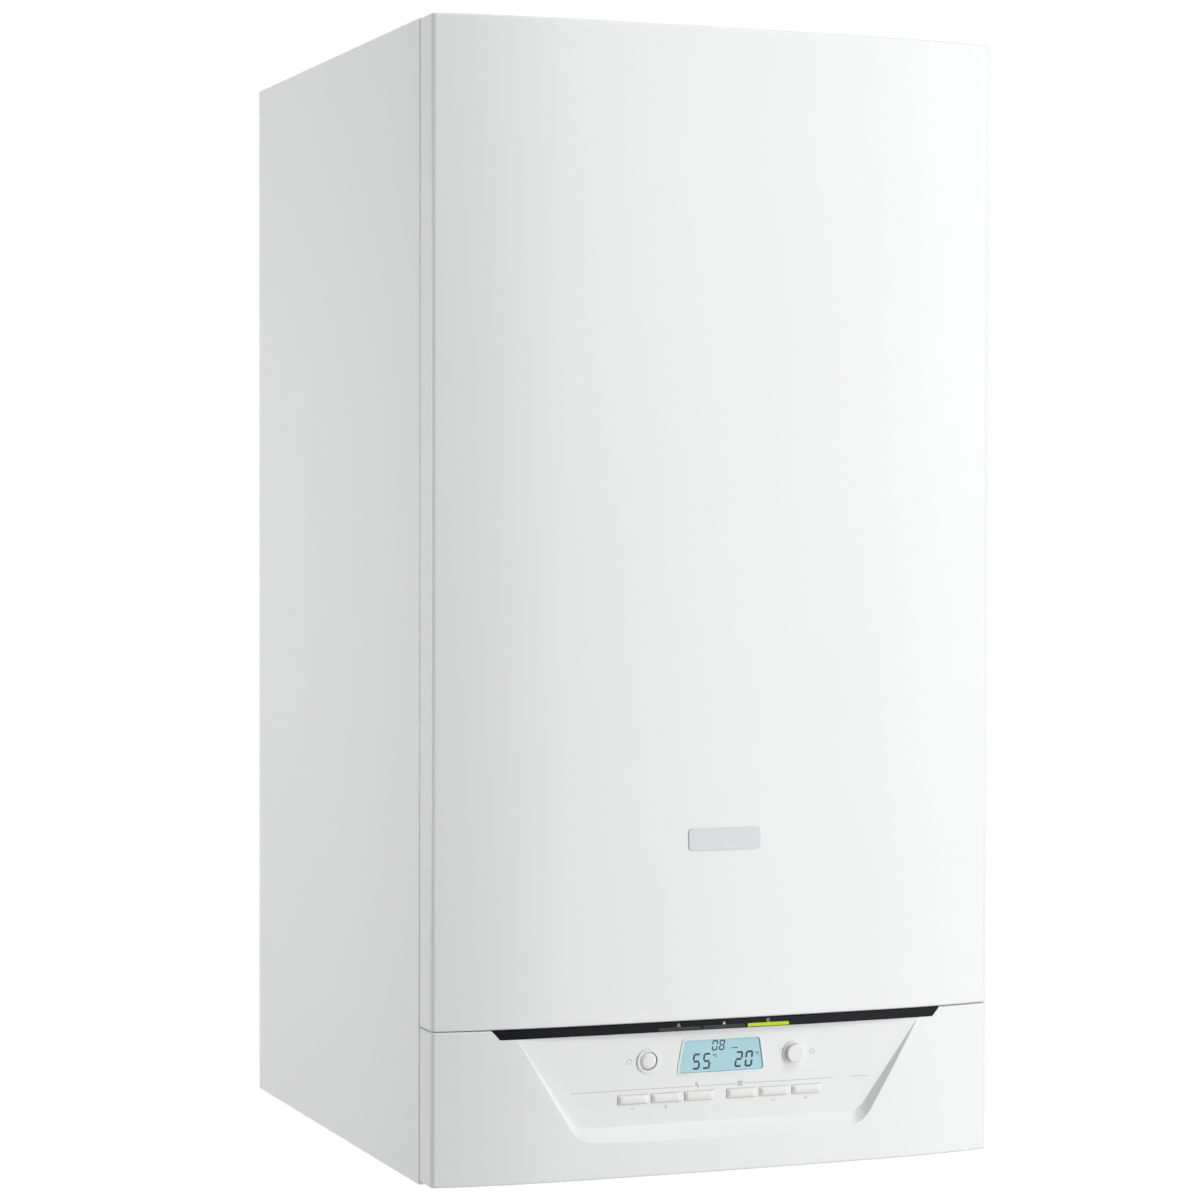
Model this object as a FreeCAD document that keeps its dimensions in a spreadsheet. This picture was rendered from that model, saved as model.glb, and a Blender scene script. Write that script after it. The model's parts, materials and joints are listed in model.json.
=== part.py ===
import FreeCAD, Part
import itertools
import math
import os
import re
import Sketcher

# Wall-hung condensing gas boiler with two storage cylinders behind the heat cell.
# Frame: origin at the bottom centre of the wall face, X to the right, -Y to the front, Z up.

# Driving dimensions in millimetres
SIZES = {
    "casing_width": 470, "casing_height": 890, "casing_depth": 510,
    "sheet": 1, "frame_sheet": 1.5, "base_rise": 12, "base_setback": 50, "over": 1,
    "bow_radius": 5000, "bow_end_radius": 550, "bow_half": 140,
    "cover_return": 28, "cover_hem": 11, "cover_corner": 4, "cover_edge": 1.5,
    "panel_gap": 2.5, "panel_flange": 16, "panel_edge": 2, "seal_gap": 0.3,
    "tab_front": 20, "tab_rear": 40, "lip_height": 14, "roof_screw_front": 60, "roof_screw_rear": 60,
    "seam_height": 121, "seam_gap": 0.6,
    "badge_width": 60, "badge_height": 17, "badge_thick": 0.8, "badge_round": 2.8, "badge_z": 262,
    "fascia_rise": 2.5, "fascia_wall": 2.5, "backing_reach": 25,
    "strip_height": 7, "strip_half_top": 189, "strip_half_low": 182.5, "strip_depth": 3.5,
    "strip_fit": 0.2, "strip_span": 40,
    "light_width": 35, "light_pitch": 37.5, "light_height": 2.6, "light_stand": 0.4, "light_lift": 0.6,
    "light_fit": 0.1,
    "recess_half_top": 178, "recess_half_low": 119, "recess_low": 29, "recess_ledge": 12,
    "recess_depth": 9, "recess_depth_top": 3.6, "recess_slope": 8, "recess_corner": 34,
    "recess_corner_in": 20,
    "key_width": 25, "key_height": 7.3, "key_pitch": 27.8, "key_first": 17.8, "key_up": 20.6,
    "key_stand": 1.8, "key_round": 0.8, "key_flange": 1.2, "key_flange_gap": 0.4, "key_fit": 0.25,
    "key_travel": 1.2, "hole_depth": 10,
    "button_x": 61.5, "button_up": 50.4, "button_radius": 7.2,
    "bezel_radius": 9.2, "bezel_stand": 1.3, "reset_stand": 2, "reset_travel": 2, "reset_round": 3.5,
    "power_stand": 5.2, "power_travel": 3, "power_round": 1,
    "window_half_top": 31.5, "window_half_low": 36, "window_low": 39, "window_height": 25.4,
    "window_frame": 1.6, "window_frame_stand": 0.7, "window_sink": 0.4, "window_corner": 2.5,
    "module_depth": 5, "module_margin": 3,
    "board_half": 100, "board_thick": 1.6, "board_low": 6, "board_top_gap": 3,
    "switch_rise": 0.7, "switch_half": 3, "switch_gap": 0.2,
    "box_side_gap": 45, "box_depth": 66, "box_low": 14, "box_height": 84, "box_wall": 2.5,
    "box_rim": 6, "box_front": 32, "box_ear": 6, "box_ear_drop": 5, "box_ear_lap": 3,
    "post_radius": 5, "post_inset": 15, "post_offset": 1,
    "lid_thick": 2.5, "lid_post_inset": 25, "lid_post_length": 16, "lid_post_radius": 4,
    "lid_post_level": 12, "main_board_side": 15, "main_board_edge": 6,
    "chip_low": 18, "chip_height": 44, "can_radius": 11, "can_height": 28, "can_level": 40,
    "hinge_back": 60, "hinge_z": 8, "hinge_radius": 4, "hinge_fit": 0.05, "hinge_gap": 4,
    "hinge_reach": 7, "stub_inset": 1, "ear_thick": 3, "ear_reach": 6.5, "ear_low": 1, "ear_lap": 4,
    "tank_side_gap": 39, "tank_spacing": 10, "tank_gap": 2, "tank_low": 90, "tank_headroom": 60,
    "tank_dome": 50, "tank_wall": 1.2, "skirt_radius": 70, "skirt_wall": 2,
    "tank_port_low": 200, "port_radius": 11, "port_bore": 8, "port_length": 60,
    "bridge_rise": 24, "bridge_bend": 14,
    "frame_flange": 20, "frame_rail_gap": 5, "mid_flange": 12, "mid_headroom": 19,
    "rail_drop": 80, "rail_length": 340, "rail_thick": 2.5, "rail_height": 35, "rail_lip": 17,
    "rail_reach": 9.5, "rail_hole_radius": 5, "rail_hole_spacing": 240, "rail_hole_up": 16,
    "hanger_thick": 2, "hanger_lip": 25, "hanger_reach": 30, "hanger_web": 28, "hanger_play": 1,
    "cell_drop": 250, "cell_radius": 112, "cell_wall": 2, "cell_flange": 10, "cell_flange_thick": 4,
    "cell_port_drop": 100, "cell_port_back": 33, "cell_flue_rise": 150,
    "drain_radius": 8, "drain_wall": 2, "drain_drop": 135,
    "door_thick": 12, "duct_radius": 28, "duct_bore": 24, "duct_drop": 92, "duct_forward": 30,
    "boss_length": 62, "boss_wall": 6, "boss_end": 4,
    "screw_count": 6, "screw_circle": 117, "screw_head": 4.5, "screw_head_height": 3,
    "screw_shank": 2.4, "screw_length": 18, "screw_fit": 0.1, "screw_inset": 9,
    "burner_radius": 34, "burner_wall": 1, "burner_end": 2, "burner_length": 72,
    "electrode_radius": 2, "electrode_length": 24, "electrode_up": 62, "electrode_head": 6,
    "electrode_stand": 10, "electrode_seat": 4, "electrode_seat_width": 3,
    "fan_cover_gap": 37, "fan_offset": 48, "fan_drop": 200, "fan_radius": 78, "fan_width": 58,
    "fan_wall": 3, "fan_motor_radius": 46, "fan_motor_length": 30, "bearing_end": 6,
    "wheel_radius": 66, "wheel_width": 28, "wheel_hub": 12, "wheel_gap": 6, "blade_count": 14,
    "blade_thick": 1.6, "blade_inset": 2, "shaft_radius": 5, "shaft_fit": 0.05, "shaft_hole": 7,
    "shaft_setback": 10,
    "mixer_radius": 34, "mixer_length": 44, "mixer_bore": 24, "gas_spigot_radius": 9,
    "gas_spigot_wall": 3, "intake_radius": 20, "intake_wall": 2, "intake_stub": 10, "intake_x": 170,
    "intake_bend": 30,
    "valve_left": -100, "valve_right": -20, "valve_drop": 45, "valve_height": 90, "valve_depth": 50,
    "valve_gap": 4, "valve_inlet": 15, "valve_inlet_wall": 5, "coil_reach": 34, "coil_inset": 6,
    "coil_low": 18, "coil_width": 46, "coil_height": 54, "test_inset": 16, "test_reach": 8,
    "test_radius": 5, "gas_drop": 35, "gas_bend": 20,
    "flue_radius": 36, "flue_wall": 2.5, "flue_fit": 0.3, "flue_duct_wall": 2.2, "flue_socket_up": 125,
    "flue_socket_height": 35, "flue_socket_roof": 3, "flue_top_gap": 8,
    "flue_bore": 30.25, "flue_tube": 2.25, "air_radius": 49.8, "air_wall": 1.8,
    "collar_rise": 24, "collar_drop": 24, "collar_flange": 62, "collar_flange_thick": 2,
    "roof_hole": 46, "rib_count": 3, "rib_thick": 2, "rib_height": 12, "rib_lift": 4,
    "hose_radius": 10, "trap_radius": 28, "trap_low": 120, "trap_height": 160, "trap_wall": 2,
    "trap_collar_drop": 25, "trap_collar_width": 3, "trap_collar_height": 14,
    "outlet_radius": 10.5, "outlet_step": 1, "outlet_wall": 3, "outlet_drop": 30, "outlet_spigot": 24,
    "pipe_side_gap": 74, "pipe_forward": 53, "pipe_radius": 9, "pipe_wall": 1, "pipe_fit": 0.3,
    "pipe_bend": 25, "nipple_radius": 13.22, "nipple_length": 20, "nipple_drop": 30,
    "cross_level": 345, "flow_shift_x": 8, "flow_shift_y": 12,
    "plate_gap": 2, "plate_depth": 78, "plate_low": 120, "plate_height": 190, "plate_skin": 6,
    "groove_count": 11, "groove_pitch": 6, "groove": 3, "groove_sink": 2, "groove_end": 8,
    "diverter_side": 30, "diverter_width": 68, "diverter_low": 110, "diverter_height": 80,
    "diverter_depth": 70, "diverter_back": 33, "stem_radius": 4, "stem_fit": 0.05, "stem_gap": 14,
    "stem_front": 12, "stem_rear": 30, "stem_travel": 6, "stem_end_gap": 12, "stem_collar_gap": 2,
    "stem_collar_width": 4, "stem_collar_thick": 3, "bracket_offset": 22, "bracket_radius": 4,
    "actuator_length": 56, "actuator_width": 46, "actuator_height": 60,
    "pump_z": 200, "pump_radius": 50, "pump_width": 50, "pump_wall": 4, "pump_motor_radius": 45,
    "pump_motor_length": 90, "pump_cap_inset": 12, "pump_cap": 6, "pump_port": 14, "pump_port_reach": 20,
    "pump_wheel": 40, "pump_wheel_width": 20, "pump_wheel_gap": 12, "pump_blade_gap": 2,
    "pump_shaft_reach": 40,
    "vessel_gap": 26, "vessel_cell_gap": 18, "vessel_low": 500, "vessel_headroom": 40,
    "vessel_round": 20, "vessel_wall": 1.5, "bleed_radius": 5, "bleed_inset": 10, "bleed_leg": 40,
    "safety_z": 80, "safety_forward": 45, "safety_radius": 12, "safety_height": 45, "safety_drop": 15,
    "clamp_half": 12, "clamp_wall": 5, "safety_arm": 8,
    "knob_radius": 17, "knob_height": 24, "knob_gap": 0.3, "knob_stem": 15, "knob_stem_gap": 5,
    "notch_count": 8, "notch_radius": 3, "notch_out": 1, "notch_low": 4,
    "gland_side_gap": 24, "gland_setback": 70, "gland_radius": 8.8, "gland_flange": 13,
    "gland_flange_thick": 5, "gland_bore": 4.6, "gland_low": 8, "gland_high": 10,
    "loom_radius": 4, "loom_wall": 1, "loom_gap": 6, "loom_setback": 12, "loom_level": 200,
}

# Positions that follow from the driving dimensions
PLACES = {
    "half_width": "casing_width / 2",
    "half_inside": "half_width - sheet",
    "bow_drop": "bow_radius - sqrt(bow_radius ^ 2 - bow_half ^ 2)",
    "bow_end_x": "bow_half * (1 - bow_end_radius / bow_radius)",
    "bow_end_y": "bow_drop + bow_end_radius * sqrt(1 - (bow_half / bow_radius) ^ 2)",
    "end_sag": "bow_end_y - sqrt(bow_end_radius ^ 2 - (half_width - bow_end_x) ^ 2)",
    "return_rear": "-(casing_depth - end_sag - cover_return)",
    "panel_front": "return_rear + panel_gap",
    "floor_top": "base_rise + sheet",
    "roof_low": "casing_height - sheet",
    "cover_low": "seam_height + seam_gap / 2",
    "fascia_top": "seam_height - seam_gap / 2",
    "strip_low": "fascia_top - strip_height",
    "recess_flare": "(recess_half_top - recess_half_low) / (strip_low - recess_low)",
    "panel_low": "recess_low + recess_ledge",
    "panel_y": "-casing_depth + recess_depth",
    "panel_tilt": "atan((recess_depth - recess_depth_top) / (strip_low - panel_low))",
    "panel_length": "(strip_low - panel_low) / cos(panel_tilt)",
    "switch_front": "module_depth + fascia_wall - switch_rise",
    "hinge_y": "-casing_depth + hinge_back",
    "base_front": "hinge_y + base_setback",
    "box_half": "half_width - box_side_gap",
    "box_high": "box_low + box_height",
    "box_front_y": "-casing_depth + box_front",
    "box_rear_y": "box_front_y + box_depth",
    "main_board_rear": "box_rear_y - lid_post_length",
    "main_board_front": "main_board_rear - board_thick",
    "tank_radius": "(half_inside - tank_side_gap - tank_spacing / 2) / 2",
    "tank_x": "tank_radius + tank_spacing / 2",
    "tank_y": "-(frame_sheet + tank_gap + tank_radius)",
    "tank_top": "casing_height - tank_headroom",
    "mid_rear": "-(frame_sheet + 2 * tank_gap + 2 * tank_radius)",
    "mid_front": "mid_rear - frame_sheet",
    "mid_top": "roof_low - mid_headroom",
    "rail_low": "casing_height - rail_drop",
    "rail_top": "rail_low + rail_height",
    "rail_hole_z": "rail_low + rail_hole_up",
    "frame_top": "rail_low - frame_rail_gap",
    "fan_front": "-(casing_depth - sheet - fan_cover_gap - fan_motor_length)",
    "duct_y": "fan_front + fan_width / 2",
    "fan_rear": "duct_y + fan_width / 2",
    "door_front": "duct_y + duct_forward",
    "flange_front": "door_front + door_thick",
    "cell_front": "flange_front + cell_flange_thick",
    "cell_length": "mid_front - cell_front",
    "cell_z": "casing_height - cell_drop",
    "cell_flue_top": "cell_z + cell_flue_rise",
    "cell_port_y": "mid_front - cell_port_back",
    "cell_port_low": "cell_z - cell_port_drop",
    "drain_low": "cell_z - drain_drop",
    "duct_low": "cell_z - duct_drop",
    "fan_z": "cell_z - fan_drop",
    "fan_wheel_y": "fan_rear - fan_wall - wheel_gap",
    "mixer_mid": "fan_rear + mixer_length / 2",
    "intake_start": "fan_offset + mixer_radius + intake_stub",
    "valve_low": "fan_z - valve_drop",
    "valve_front": "fan_rear + valve_gap",
    "valve_x": "(valve_left + valve_right) / 2",
    "valve_y": "valve_front + valve_depth / 2",
    "valve_inlet_low": "valve_low - valve_inlet",
    "gas_level": "valve_inlet_low - gas_drop",
    "flue_y": "(cell_front + mid_front) / 2",
    "flue_low": "cell_z + flue_socket_up",
    "flue_top": "casing_height - flue_top_gap",
    "pipe_pitch": "(half_inside - pipe_side_gap) / 2",
    "pipe_y": "mid_front - pipe_forward",
    "drain_x": "pipe_pitch / 2",
    "trap_top": "trap_low + trap_height",
    "diverter_left": "-2 * pipe_pitch - diverter_side",
    "diverter_x": "diverter_left + diverter_width / 2",
    "diverter_mid": "diverter_low + diverter_height / 2",
    "diverter_top": "diverter_low + diverter_height",
    "diverter_rear": "mid_front - diverter_back",
    "diverter_front": "diverter_rear - diverter_depth",
    "actuator_rear": "diverter_front - stem_gap",
    "plate_left": "diverter_left + diverter_width",
    "plate_right": "-pipe_pitch / 2 - plate_gap",
    "plate_front": "mid_front - plate_depth",
    "pump_x": "2 * pipe_pitch",
    "pump_rear": "pipe_y + pump_width / 2",
    "pump_front": "pipe_y - pump_width / 2",
    "pump_low": "pump_z - pump_radius - pump_port_reach",
    "pump_high": "pump_z + pump_radius + pump_port_reach",
    "pump_wheel_y": "pump_rear - pump_wheel_gap",
    "vessel_front": "panel_front + vessel_gap",
    "vessel_width": "half_inside - cell_radius - cell_flange - vessel_cell_gap",
    "vessel_height": "casing_height - vessel_headroom - vessel_low",
    "vessel_x": "-half_inside + vessel_width / 2",
    "bleed_x": "diverter_left + bleed_inset",
    "safety_y": "pipe_y - safety_forward",
    "safety_low": "safety_z - safety_drop",
    "knob_low": "safety_low + safety_height",
    "gland_x": "-half_inside + gland_side_gap",
    "gland_y": "base_front + gland_setback",
    "loom_x": "half_width - panel_flange - loom_gap",
    "loom_rear": "base_front + loom_setback",
    "loom_front": "fan_front - fan_motor_length / 2",
}

doc = FreeCAD.newDocument("boiler")
WORD = re.compile(r"[a-z_][a-z0-9_]*")
AXIS_TURN = {
    "x": FreeCAD.Rotation(FreeCAD.Vector(0, 1, 0), 90),
    "y": FreeCAD.Rotation(FreeCAD.Vector(1, 0, 0), -90),
    "z": FreeCAD.Rotation(),
}
ROOF_SCREW_ROWS = ("-roof_screw_rear", "panel_front + roof_screw_front")
# Left edge, width and height off the board of the tall parts on the main board, then its round ones
CHIPS = (("-125", "60", "26"), ("-50", "40", "18"), ("65", "60", "30"))
CANS = ("12", "42")
pieces = []
serial = itertools.count(1)
rows = itertools.count(1)


# Sheets and values

def link(text, own_sheet=False):
    """Write each size name as a reference to its sheet."""
    def prefix(match):
        word = match.group()
        if word in SIZES:
            return "Sizes." + word
        if word in PLACES and not own_sheet:
            return "Places." + word
        return word
    return WORD.sub(prefix, str(text))


def fill_sheet(name, cells):
    sheet = doc.addObject("Spreadsheet::Sheet", name)
    for row, (alias, content) in enumerate(cells.items(), start=1):
        sheet.set(f"A{row}", alias)
        sheet.set(f"B{row}", content)
        sheet.setAlias(f"B{row}", alias)
    doc.recompute()
    return sheet


fill_sheet("Sizes", {alias: str(number) for alias, number in SIZES.items()})
fill_sheet("Places", {alias: "=" + link(formula, True) for alias, formula in PLACES.items()})
routes = doc.addObject("Spreadsheet::Sheet", "Routes")


def value(text):
    """Number of a formula, kept as a cell of the routes sheet."""
    cell = f"A{next(rows)}"
    routes.set(cell, "=" + link(text))
    routes.recompute()
    got = routes.get(cell)
    return float(getattr(got, "Value", got))


def bind(obj, links):
    for name, text in links.items():
        obj.setExpression(name, link(text))
    return obj


def place(obj, base):
    return bind(obj, {f"Placement.Base.{axis}": text for axis, text in zip("xyz", base)})


def keep(obj, label):
    obj.Label = label
    pieces.append(obj)
    return obj


def named(kind):
    return f"shape_{kind}_{next(serial)}"


# Primitives and booleans

def box(low, size):
    obj = doc.addObject("Part::Box", named("box"))
    bind(obj, dict(zip(("Length", "Width", "Height"), size)))
    return place(obj, low)


def rod(base, axis, radius, length):
    obj = doc.addObject("Part::Cylinder", named("rod"))
    obj.Placement = FreeCAD.Placement(FreeCAD.Vector(), AXIS_TURN[axis])
    bind(obj, {"Radius": radius, "Height": length})
    return place(obj, base)


def fuse(*shapes):
    obj = doc.addObject("Part::MultiFuse", named("fuse"))
    obj.Shapes = list(shapes)
    obj.Refine = True
    return obj


def cut(base, *tools):
    obj = doc.addObject("Part::Cut", named("cut"))
    obj.Base = base
    obj.Tool = tools[0] if len(tools) == 1 else fuse(*tools)
    obj.Refine = True
    return obj


def common(first, second):
    obj = doc.addObject("Part::Common", named("common"))
    obj.Base = first
    obj.Tool = second
    return obj


def group(*shapes):
    obj = doc.addObject("Part::Compound", named("group"))
    obj.Links = list(shapes)
    return obj


def ring(base, axis, radius, bore, length):
    return cut(rod(base, axis, radius, length), rod(base, axis, bore, length))


# Sketched bodies

def new_body():
    return doc.addObject("PartDesign::Body", named("body"))


def new_sketch(body, plane, offset):
    sketch = body.newObject("Sketcher::SketchObject", named("sketch"))
    support = [feature for feature in body.Origin.OriginFeatures if feature.Role == plane][0]
    sketch.AttachmentSupport = [(support, "")]
    sketch.MapMode = "FlatFace"
    return bind(sketch, {"AttachmentOffset.Base.z": offset})


def dimension(sketch, kind, geometry, text):
    index = sketch.addConstraint(Sketcher.Constraint(kind, *geometry, value(text)))
    sketch.setExpression(f"Constraints[{index}]", link(text))


def outline(sketch, corners):
    """Closed polygon, each corner held by its two coordinates."""
    points = [FreeCAD.Vector(value(across), value(up), 0) for across, up in corners]
    count = len(points)
    first = sketch.GeometryCount
    for index in range(count):
        sketch.addGeometry(Part.LineSegment(points[index], points[(index + 1) % count]))
    for index in range(count):
        following = first + (index + 1) % count
        sketch.addConstraint(Sketcher.Constraint("Coincident", first + index, 2, following, 1))
    for index, (across, up) in enumerate(corners):
        dimension(sketch, "DistanceX", (-1, 1, first + index, 1), across)
        dimension(sketch, "DistanceY", (-1, 1, first + index, 1), up)


def circle(sketch, centre, radius):
    middle = FreeCAD.Vector(value(centre[0]), value(centre[1]), 0)
    index = sketch.addGeometry(Part.Circle(middle, FreeCAD.Vector(0, 0, 1), value(radius)))
    dimension(sketch, "Radius", (index,), radius)
    dimension(sketch, "DistanceX", (-1, 1, index, 3), centre[0])
    dimension(sketch, "DistanceY", (-1, 1, index, 3), centre[1])


def pad(body, sketch, length):
    feature = body.newObject("PartDesign::Pad", named("pad"))
    feature.Profile = sketch
    return bind(feature, {"Length": length})


def prism(plane, offset, corners, length, body=None):
    body = body or new_body()
    sketch = new_sketch(body, plane, offset)
    outline(sketch, corners)
    pad(body, sketch, length)
    return body


def disc(plane, offset, centre, radius, length, body=None):
    body = body or new_body()
    sketch = new_sketch(body, plane, offset)
    circle(sketch, centre, radius)
    pad(body, sketch, length)
    return body


def ring_places(count, radius):
    """Offsets of equal steps around a circle, from the right."""
    return [(f"{radius} * cos({index} * 360 / {count})", f"{radius} * sin({index} * 360 / {count})")
            for index in range(SIZES[count])]


def middle_of(edge):
    return edge.valueAt((edge.FirstParameter + edge.LastParameter) / 2)


def round_edges(body, radius, chosen):
    doc.recompute()
    base = body.Tip
    names = [f"Edge{index}" for index, edge in enumerate(base.Shape.Edges, start=1) if chosen(edge)]
    fillet = body.newObject("PartDesign::Fillet", named("fillet"))
    fillet.Base = (base, names)
    bind(fillet, {"Radius": radius})
    return body


def rectangle(left, low, right, high):
    return [(left, low), (right, low), (right, high), (left, high)]


def mirrored(corners, side):
    return [(f"{side} * ({across})", up) for across, up in corners]


def on_panel(body, across="0", up="0"):
    """Put a body into the tilted plane of the recessed control surface."""
    body.Placement = FreeCAD.Placement(FreeCAD.Vector(), FreeCAD.Rotation(FreeCAD.Vector(1, 0, 0), 1))
    bind(body, {"Placement.Rotation.Angle": "panel_tilt"})
    depth = f"panel_y - ({up}) * sin(panel_tilt)"
    return place(body, (across, depth, f"panel_low + ({up}) * cos(panel_tilt)"))


# Pipes with rounded corners, swept along their routes

def route_wire(corners, bend):
    edges = []
    start = corners[0]
    for before, corner, after in zip(corners, corners[1:], corners[2:]):
        back = (before - corner).normalize()
        onward = (after - corner).normalize()
        half_turn = back.getAngle(onward) / 2
        run = bend / math.tan(half_turn)
        entry = corner + back * run
        leave = corner + onward * run
        inward = (back + onward).normalize()
        top = corner + inward * (bend / math.sin(half_turn) - bend)
        edges.append(Part.LineSegment(start, entry).toShape())
        edges.append(Part.Arc(entry, top, leave).toShape())
        start = leave
    edges.append(Part.LineSegment(start, corners[-1]).toShape())
    return Part.Wire(edges)


def swept(wire, start, onward, radius):
    section = Part.Wire(Part.makeCircle(radius, start, onward))
    return wire.makePipeShell([section], True, False)


def pipe(points, radius, wall, bend, nipple=False):
    corners = [FreeCAD.Vector(*(value(text) for text in point)) for point in points]
    outside = value(radius)
    inside = outside - value(wall)
    onward = corners[1] - corners[0]
    wire = route_wire(corners, value(bend))
    shape = swept(wire, corners[0], onward, outside)
    if nipple:
        thread = Part.makeCylinder(value("nipple_radius"), value("nipple_length"), corners[0], onward)
        shape = shape.fuse(thread)
    shape = shape.cut(swept(wire, corners[0], onward, inside)).removeSplitter()
    obj = doc.addObject("Part::Feature", named("pipe"))
    obj.Shape = shape
    return obj


# Bowed plan of the front: a shallow middle arc that runs into tighter end arcs

def bowed(inset, rear, low, high):
    body = new_body()
    sketch = new_sketch(body, "XY_Plane", low)
    depth = value("casing_depth")
    middle_radius = value("bow_radius") - value(inset)
    end_radius = value("bow_end_radius") - value(inset)
    half = value("half_width") - value(inset)
    back = value(rear)
    turn = math.asin(value("bow_half") / value("bow_radius"))
    end_x = value("bow_end_x")
    end_y = -depth + value("bow_end_y")
    corner = math.asin((half - end_x) / end_radius)
    edge_y = end_y - end_radius * math.cos(corner)
    normal = FreeCAD.Vector(0, 0, 1)
    down = -math.pi / 2

    def arc(centre_x, centre_y, radius, start, stop):
        whole = Part.Circle(FreeCAD.Vector(centre_x, centre_y, 0), normal, radius)
        return Part.ArcOfCircle(whole, down + start, down + stop)

    def line(first, second):
        return Part.LineSegment(FreeCAD.Vector(*first, 0), FreeCAD.Vector(*second, 0))

    left_line = sketch.addGeometry(line((-half, back), (-half, edge_y)))
    left_arc = sketch.addGeometry(arc(-end_x, end_y, end_radius, -corner, -turn))
    middle_arc = sketch.addGeometry(arc(0, value("bow_radius") - depth, middle_radius, -turn, turn))
    right_arc = sketch.addGeometry(arc(end_x, end_y, end_radius, turn, corner))
    right_line = sketch.addGeometry(line((half, edge_y), (half, back)))
    rear_line = sketch.addGeometry(line((half, back), (-half, back)))
    for first, second in ((left_line, left_arc), (right_arc, right_line),
                          (right_line, rear_line), (rear_line, left_line)):
        sketch.addConstraint(Sketcher.Constraint("Coincident", first, 2, second, 1))
    sketch.addConstraint(Sketcher.Constraint("Tangent", left_arc, 2, middle_arc, 1))
    sketch.addConstraint(Sketcher.Constraint("Tangent", middle_arc, 2, right_arc, 1))
    sketch.addConstraint(Sketcher.Constraint("Vertical", left_line))
    sketch.addConstraint(Sketcher.Constraint("Vertical", right_line))
    sketch.addConstraint(Sketcher.Constraint("Horizontal", rear_line))
    sketch.addConstraint(Sketcher.Constraint("PointOnObject", middle_arc, 3, -2))
    dimension(sketch, "DistanceY", (-1, 1, middle_arc, 3), "bow_radius - casing_depth")
    dimension(sketch, "Radius", (middle_arc,), f"bow_radius - {inset}")
    dimension(sketch, "Radius", (left_arc,), f"bow_end_radius - {inset}")
    dimension(sketch, "Radius", (right_arc,), f"bow_end_radius - {inset}")
    run = f"bow_half * (bow_radius - {inset}) / bow_radius"
    dimension(sketch, "DistanceX", (-1, 1, middle_arc, 1), f"-{run}")
    dimension(sketch, "DistanceX", (-1, 1, middle_arc, 2), run)
    dimension(sketch, "DistanceX", (-1, 1, rear_line, 1), f"half_width - {inset}")
    dimension(sketch, "DistanceX", (-1, 1, rear_line, 2), f"-(half_width - {inset})")
    dimension(sketch, "DistanceY", (-1, 1, rear_line, 1), rear)
    pad(body, sketch, f"{high} - ({low})")
    return body


def upright(edge):
    return edge.BoundBox.ZLength > value("over")


def front_edges(edge):
    return upright(edge) and middle_of(edge).y < value("return_rear - over")


def rim_edges(edge):
    return not upright(edge) and middle_of(edge).y < value("return_rear - over / 2")


# Casing

def make_front_cover():
    outside = bowed("0", "return_rear", "cover_low", "casing_height")
    round_edges(outside, "cover_corner", front_edges)
    round_edges(outside, "cover_edge", rim_edges)
    inside = bowed("sheet", "return_rear - sheet", "cover_low + sheet", "casing_height - sheet")
    opening = box(("-half_width + cover_hem", "return_rear - cover_edge - sheet", "cover_low + cover_hem"),
                  ("2 * (half_width - cover_hem)", "2 * (cover_edge + sheet)",
                   "casing_height - cover_low - 2 * cover_hem"))
    keep(cut(outside, inside, opening), "front_cover")


def make_cover_seal():
    thick = "panel_gap - seal_gap"
    outer = rectangle("-half_inside", "cover_low + cover_hem", "half_inside", "roof_low")
    frame = prism("XZ_Plane", "-panel_front", outer, thick)
    hole = rectangle("-(half_width - cover_hem)", "cover_low", "half_width - cover_hem",
                     "casing_height - cover_hem")
    inner = prism("XZ_Plane", "-panel_front - over", hole, f"{thick} + 2 * over")
    keep(cut(frame, inner), "cover_seal")


def make_badge_plate():
    plate = prism("XZ_Plane", "casing_depth",
                  rectangle("-badge_width / 2", "badge_z - badge_height / 2",
                            "badge_width / 2", "badge_z + badge_height / 2"), "badge_thick")
    round_edges(plate, "badge_round", lambda edge: edge.BoundBox.YLength > value("badge_thick / 2"))
    keep(plate, "badge_plate")


def roof_screw_holes(side):
    return [rod((f"{side} * (half_width - screw_inset)", y, "roof_low - 2 * sheet"), "z",
                "screw_shank + screw_fit", "4 * sheet") for y in ROOF_SCREW_ROWS]


def make_side_panel(label, side):
    profile = [("half_width", "0"), ("half_inside", "0"), ("half_inside", "panel_front + sheet"),
               ("half_width - panel_flange", "panel_front + sheet"),
               ("half_width - panel_flange", "panel_front"), ("half_width", "panel_front")]
    body = prism("XY_Plane", "0", mirrored(profile, side), "casing_height")
    outer = value("half_inside + sheet / 2")
    front = value("panel_front + sheet / 2")
    round_edges(body, "panel_edge", lambda edge: upright(edge)
                and abs(middle_of(edge).x) > outer and middle_of(edge).y < front)
    tab = rectangle("half_width - panel_flange", "panel_front + tab_front", "half_inside", "-tab_rear")
    body = prism("XY_Plane", "roof_low - sheet", mirrored(tab, side), "sheet", body)
    keep(cut(body, *roof_screw_holes(side)), label)


def make_top_panel():
    plate = box(("-half_inside", "panel_front + sheet", "roof_low"),
                ("2 * half_inside", "-panel_front - sheet", "sheet"))
    lip = box(("-half_width + panel_flange", "panel_front", "roof_low - lip_height"),
              ("2 * (half_width - panel_flange)", "sheet", "lip_height + sheet"))
    flue_hole = rod(("0", "flue_y", "roof_low - over"), "z", "roof_hole", "sheet + 2 * over")
    keep(cut(fuse(plate, lip), flue_hole, *roof_screw_holes(1), *roof_screw_holes(-1)), "top_panel")


def base_hole(across, depth, radius):
    return rod((across, depth, "base_rise - over"), "z", radius, "sheet + 2 * over")


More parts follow.
